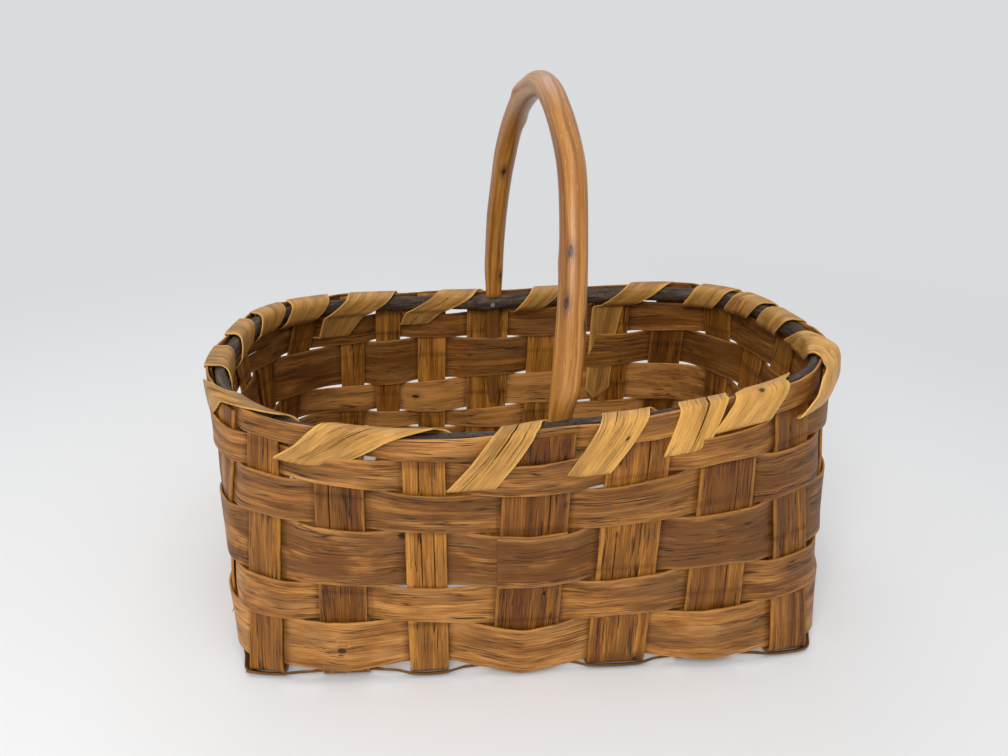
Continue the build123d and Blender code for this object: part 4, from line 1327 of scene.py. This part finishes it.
def rim_cover(angles):
    """How far out the band and the uprights reach at the rim, drawn smooth as a strip lies on them."""
    around = np.arange(-180, 540, cover_step)
    share = np.full_like(around, cover_share)
    base, along, outward = wall(around, share)
    reach = ((woven(0, around, share) - base) * outward).sum(-1) + weaver_thickness / 2
    for upright in uprights:
        low, high = [upright.at(cover_share, upright.edge_angles[hand]) for hand in (-1, 1)]
        turned = half_turned(around - (low + high) / 2) / ((high - low) / 2)
        on = np.abs(turned) <= 1
        face = upright.surface(np.full(on.sum(), cover_share), turned[on] * upright.width / 2)[0]
        proud = ((face - base[on]) * outward[on]).sum(-1) + splint_thickness / 2 + weave_air
        reach[on] = np.maximum(reach[on], proud)
    widest = np.max([np.roll(reach, step) for step in range(-bridged_steps, bridged_steps + 1)], axis=0)
    return np.interp(angles % 360, around, eased(widest, 9.0)) + lashing_thickness / 2 + lashing_air


def gap_angle(gap):
    """The middle of the gap after an upright, just below the rim, and how many degrees wide it is."""
    first, second = uprights[gap], uprights[(gap + 1) % len(uprights)]
    start = first.at(gap_share, first.edge_angles[1])
    room = (second.at(gap_share, second.edge_angles[-1]) - start) % 360
    return half_turned(start + room / 2), room


def lashing_lattice():
    """The points of the lashing, from the tip of its tail clockwise to its last gap, where along
    it each wrap starts, and its length."""
    tail = uprights[lashing_tail_upright]
    tail_top = tail.at(1.0, tail.angles)
    # Each place is an angle, a reach out of the wall, a height from the rim and a width
    places = [
        (tail.at(0.4, tail.angles) + 3.4, -0.0018, -0.123, 0.003),
        (tail.at(0.5, tail.angles) + 3.0, -0.0018, -0.112, 0.020),
        (tail.at(0.6, tail.angles) + 2.4, -0.0018, -0.075, 0.021),
        (tail_top + 2.6, -0.0020, -0.052, 0.022),
        (tail_top + 1.6, -0.0045, -0.024, 0.026),
    ]
    start, depth_in, pinch_in = tail_top + 2.0, 0.020, 0.026
    marks = []
    # A wrap goes from a gap up the inside, over the rim and down the outside to the next gap
    for gap, depth, crossing, width, foot_width, *uneven in lashing_wraps:
        foot_aside, rim_aside, lift, off, turn_down = uneven or even_wrap
        depth, width, foot_width, lift, off = [value / 1000 for value in (depth, width, foot_width, lift, off)]
        end, room = gap_angle(gap)
        travel = half_turned(end - start)
        if travel > 0:
            travel -= 360
        end = start + travel
        pinch = max(pinched_least, min(pinched_most, room * rim_per_degree - gap_margin))
        inside = travel * crossing
        rim, foot = start + inside + rim_aside, end + foot_aside
        outside = (foot - rim) * turn_down
        marks.append(len(places))
        places += [
            (start + travel * 0.03, -0.0042, -depth_in - 0.0004, max(pinch_in, 0.6 * width)),
            (start + inside * 0.25, -0.0095, -0.0185, 0.85 * width),
            (start + inside * 0.4, -0.0128, -0.0145, 0.95 * width),
            (start + inside * 0.68, -0.0134, -0.0070, width),
            (start + inside * 0.86, -0.0124, -0.0012, width),
            (start + inside * 0.95, -0.0085, 0.0014, width),
            (rim, -0.0030, lift, width),
            (rim + outside * 0.4, 0.0012, lift + 0.0001, width),
            (
                rim + outside * 0.75, band_reach - 0.0005 + off * 0.5, 0.0004 + (lift - 0.0012) * 0.7,
                toward(foot_width, width, 0.75),
            ),
            (rim + outside * 1.2, band_reach + off * 0.8, -0.0020, toward(foot_width, width, 0.5)),
            (
                rim + (foot - rim) * (0.45 + 0.6 * turn_down), band_reach + off,
                -0.0020 - (depth - 0.002) * 0.45, toward(foot_width, width, 0.25),
            ),
            (foot, band_reach + off * 0.5, -depth + 0.0012, foot_width),
            (foot, 0.0030 + off * 0.3, -depth, foot_width),
            (foot, 0.0012, -depth - 0.0004, foot_width * 0.94),
            ((foot + end) / 2, -0.0002, -depth - 0.0006, foot_width * 0.6),
            (end, -0.0012, -depth, pinch),
            (end, -0.0028, -depth, pinch * 1.1),
        ]
        start, depth_in, pinch_in = end, depth, pinch
    places = np.array(places)
    places[:, 0] = unwrapped(places[:, 0])
    run = run_along(places[:, :3] * [rim_per_degree, 1, 1])
    fine = even_places(run, lashing_step)
    angles, reaches, heights, widths = eased(read_at(fine, run, places), 1.3).T[..., None]
    aside = np.linspace(-0.5, 0.5, lashing_columns)
    around = angles + np.degrees(widths * aside / rim_radius)
    cover = rim_cover(around.ravel()).reshape(around.shape)
    rim_point = wall_point(around, 1.0)
    base, along, outward = wall(around, 1 + np.minimum(heights, 0) / rim_point[..., 2])
    outer = np.clip(reaches / band_reach, 0, 1)
    inner = np.clip((-reaches - 0.003) / 0.009, 0, 1)
    reach = reaches + outer * (cover - band_reach) - inner * leg_bulge(rim_point)
    loose = lashing_looseness * wander(fine, 0.03, 702)[:, None] * outer
    points = base + outward * (reach + loose)[..., None]
    points[..., 2] += np.maximum(heights, 0)
    return eased(points, 1.0), run[marks], run[-1]


# Golden inner bark: long fine grain, dark hair cracks and small knots
lashing_wood = split_wood(
    "golden inner bark", (0.92, 0.52, 0.13), (0.68, 0.34, 0.072), (0.26, 0.12, 0.022), (0.40, 0.20, 0.055), 1.2,
    0.62, [(137.5495, 29.9781, 0.0014), (137.3223, 29.9691, 0.0022)],
)
# Each crack is in a wrap: its start and its end along that wrap, its place across and its gap
wrap_cracks = [
    (8, 0.035, 0.105, -0.003, 0.0013), (8, 0.05, 0.10, 0.006, 0.0006), (7, 0.03, 0.07, -0.004, 0.0006),
    (6, 0.03, 0.09, 0.0035, 0.0014), (9, 0.04, 0.10, -0.004, 0.0008), (9, 0.05, 0.11, -0.001, 0.0005),
    (15, 0.02, 0.08, 0.003, 0.0006), (4, 0.02, 0.07, 0.002, 0.0006),
]
lattice, wrap_starts, lashing_length = lashing_lattice()
wrap_starts = wrap_starts - lashing_length / 2
lashing_cracks = [
    (wrap_starts[wrap] + low, wrap_starts[wrap] + high, *rest) for wrap, low, high, *rest in wrap_cracks
]
# Its tone is pale only at the front right: painted shade on the lashing at the front left and the back
lashing = wood_strip(
    "rim_lashing_strip", lattice, lashing_width, lashing_thickness, 81, (0.0, 0.5, 0.0), np.full((3, 3), 0.02),
    cracks=lashing_cracks, step=0.0016, across=0.0018, rounding=0.0002,
)
put_in_place(lashing, lashing_wood, "rim_lashing")
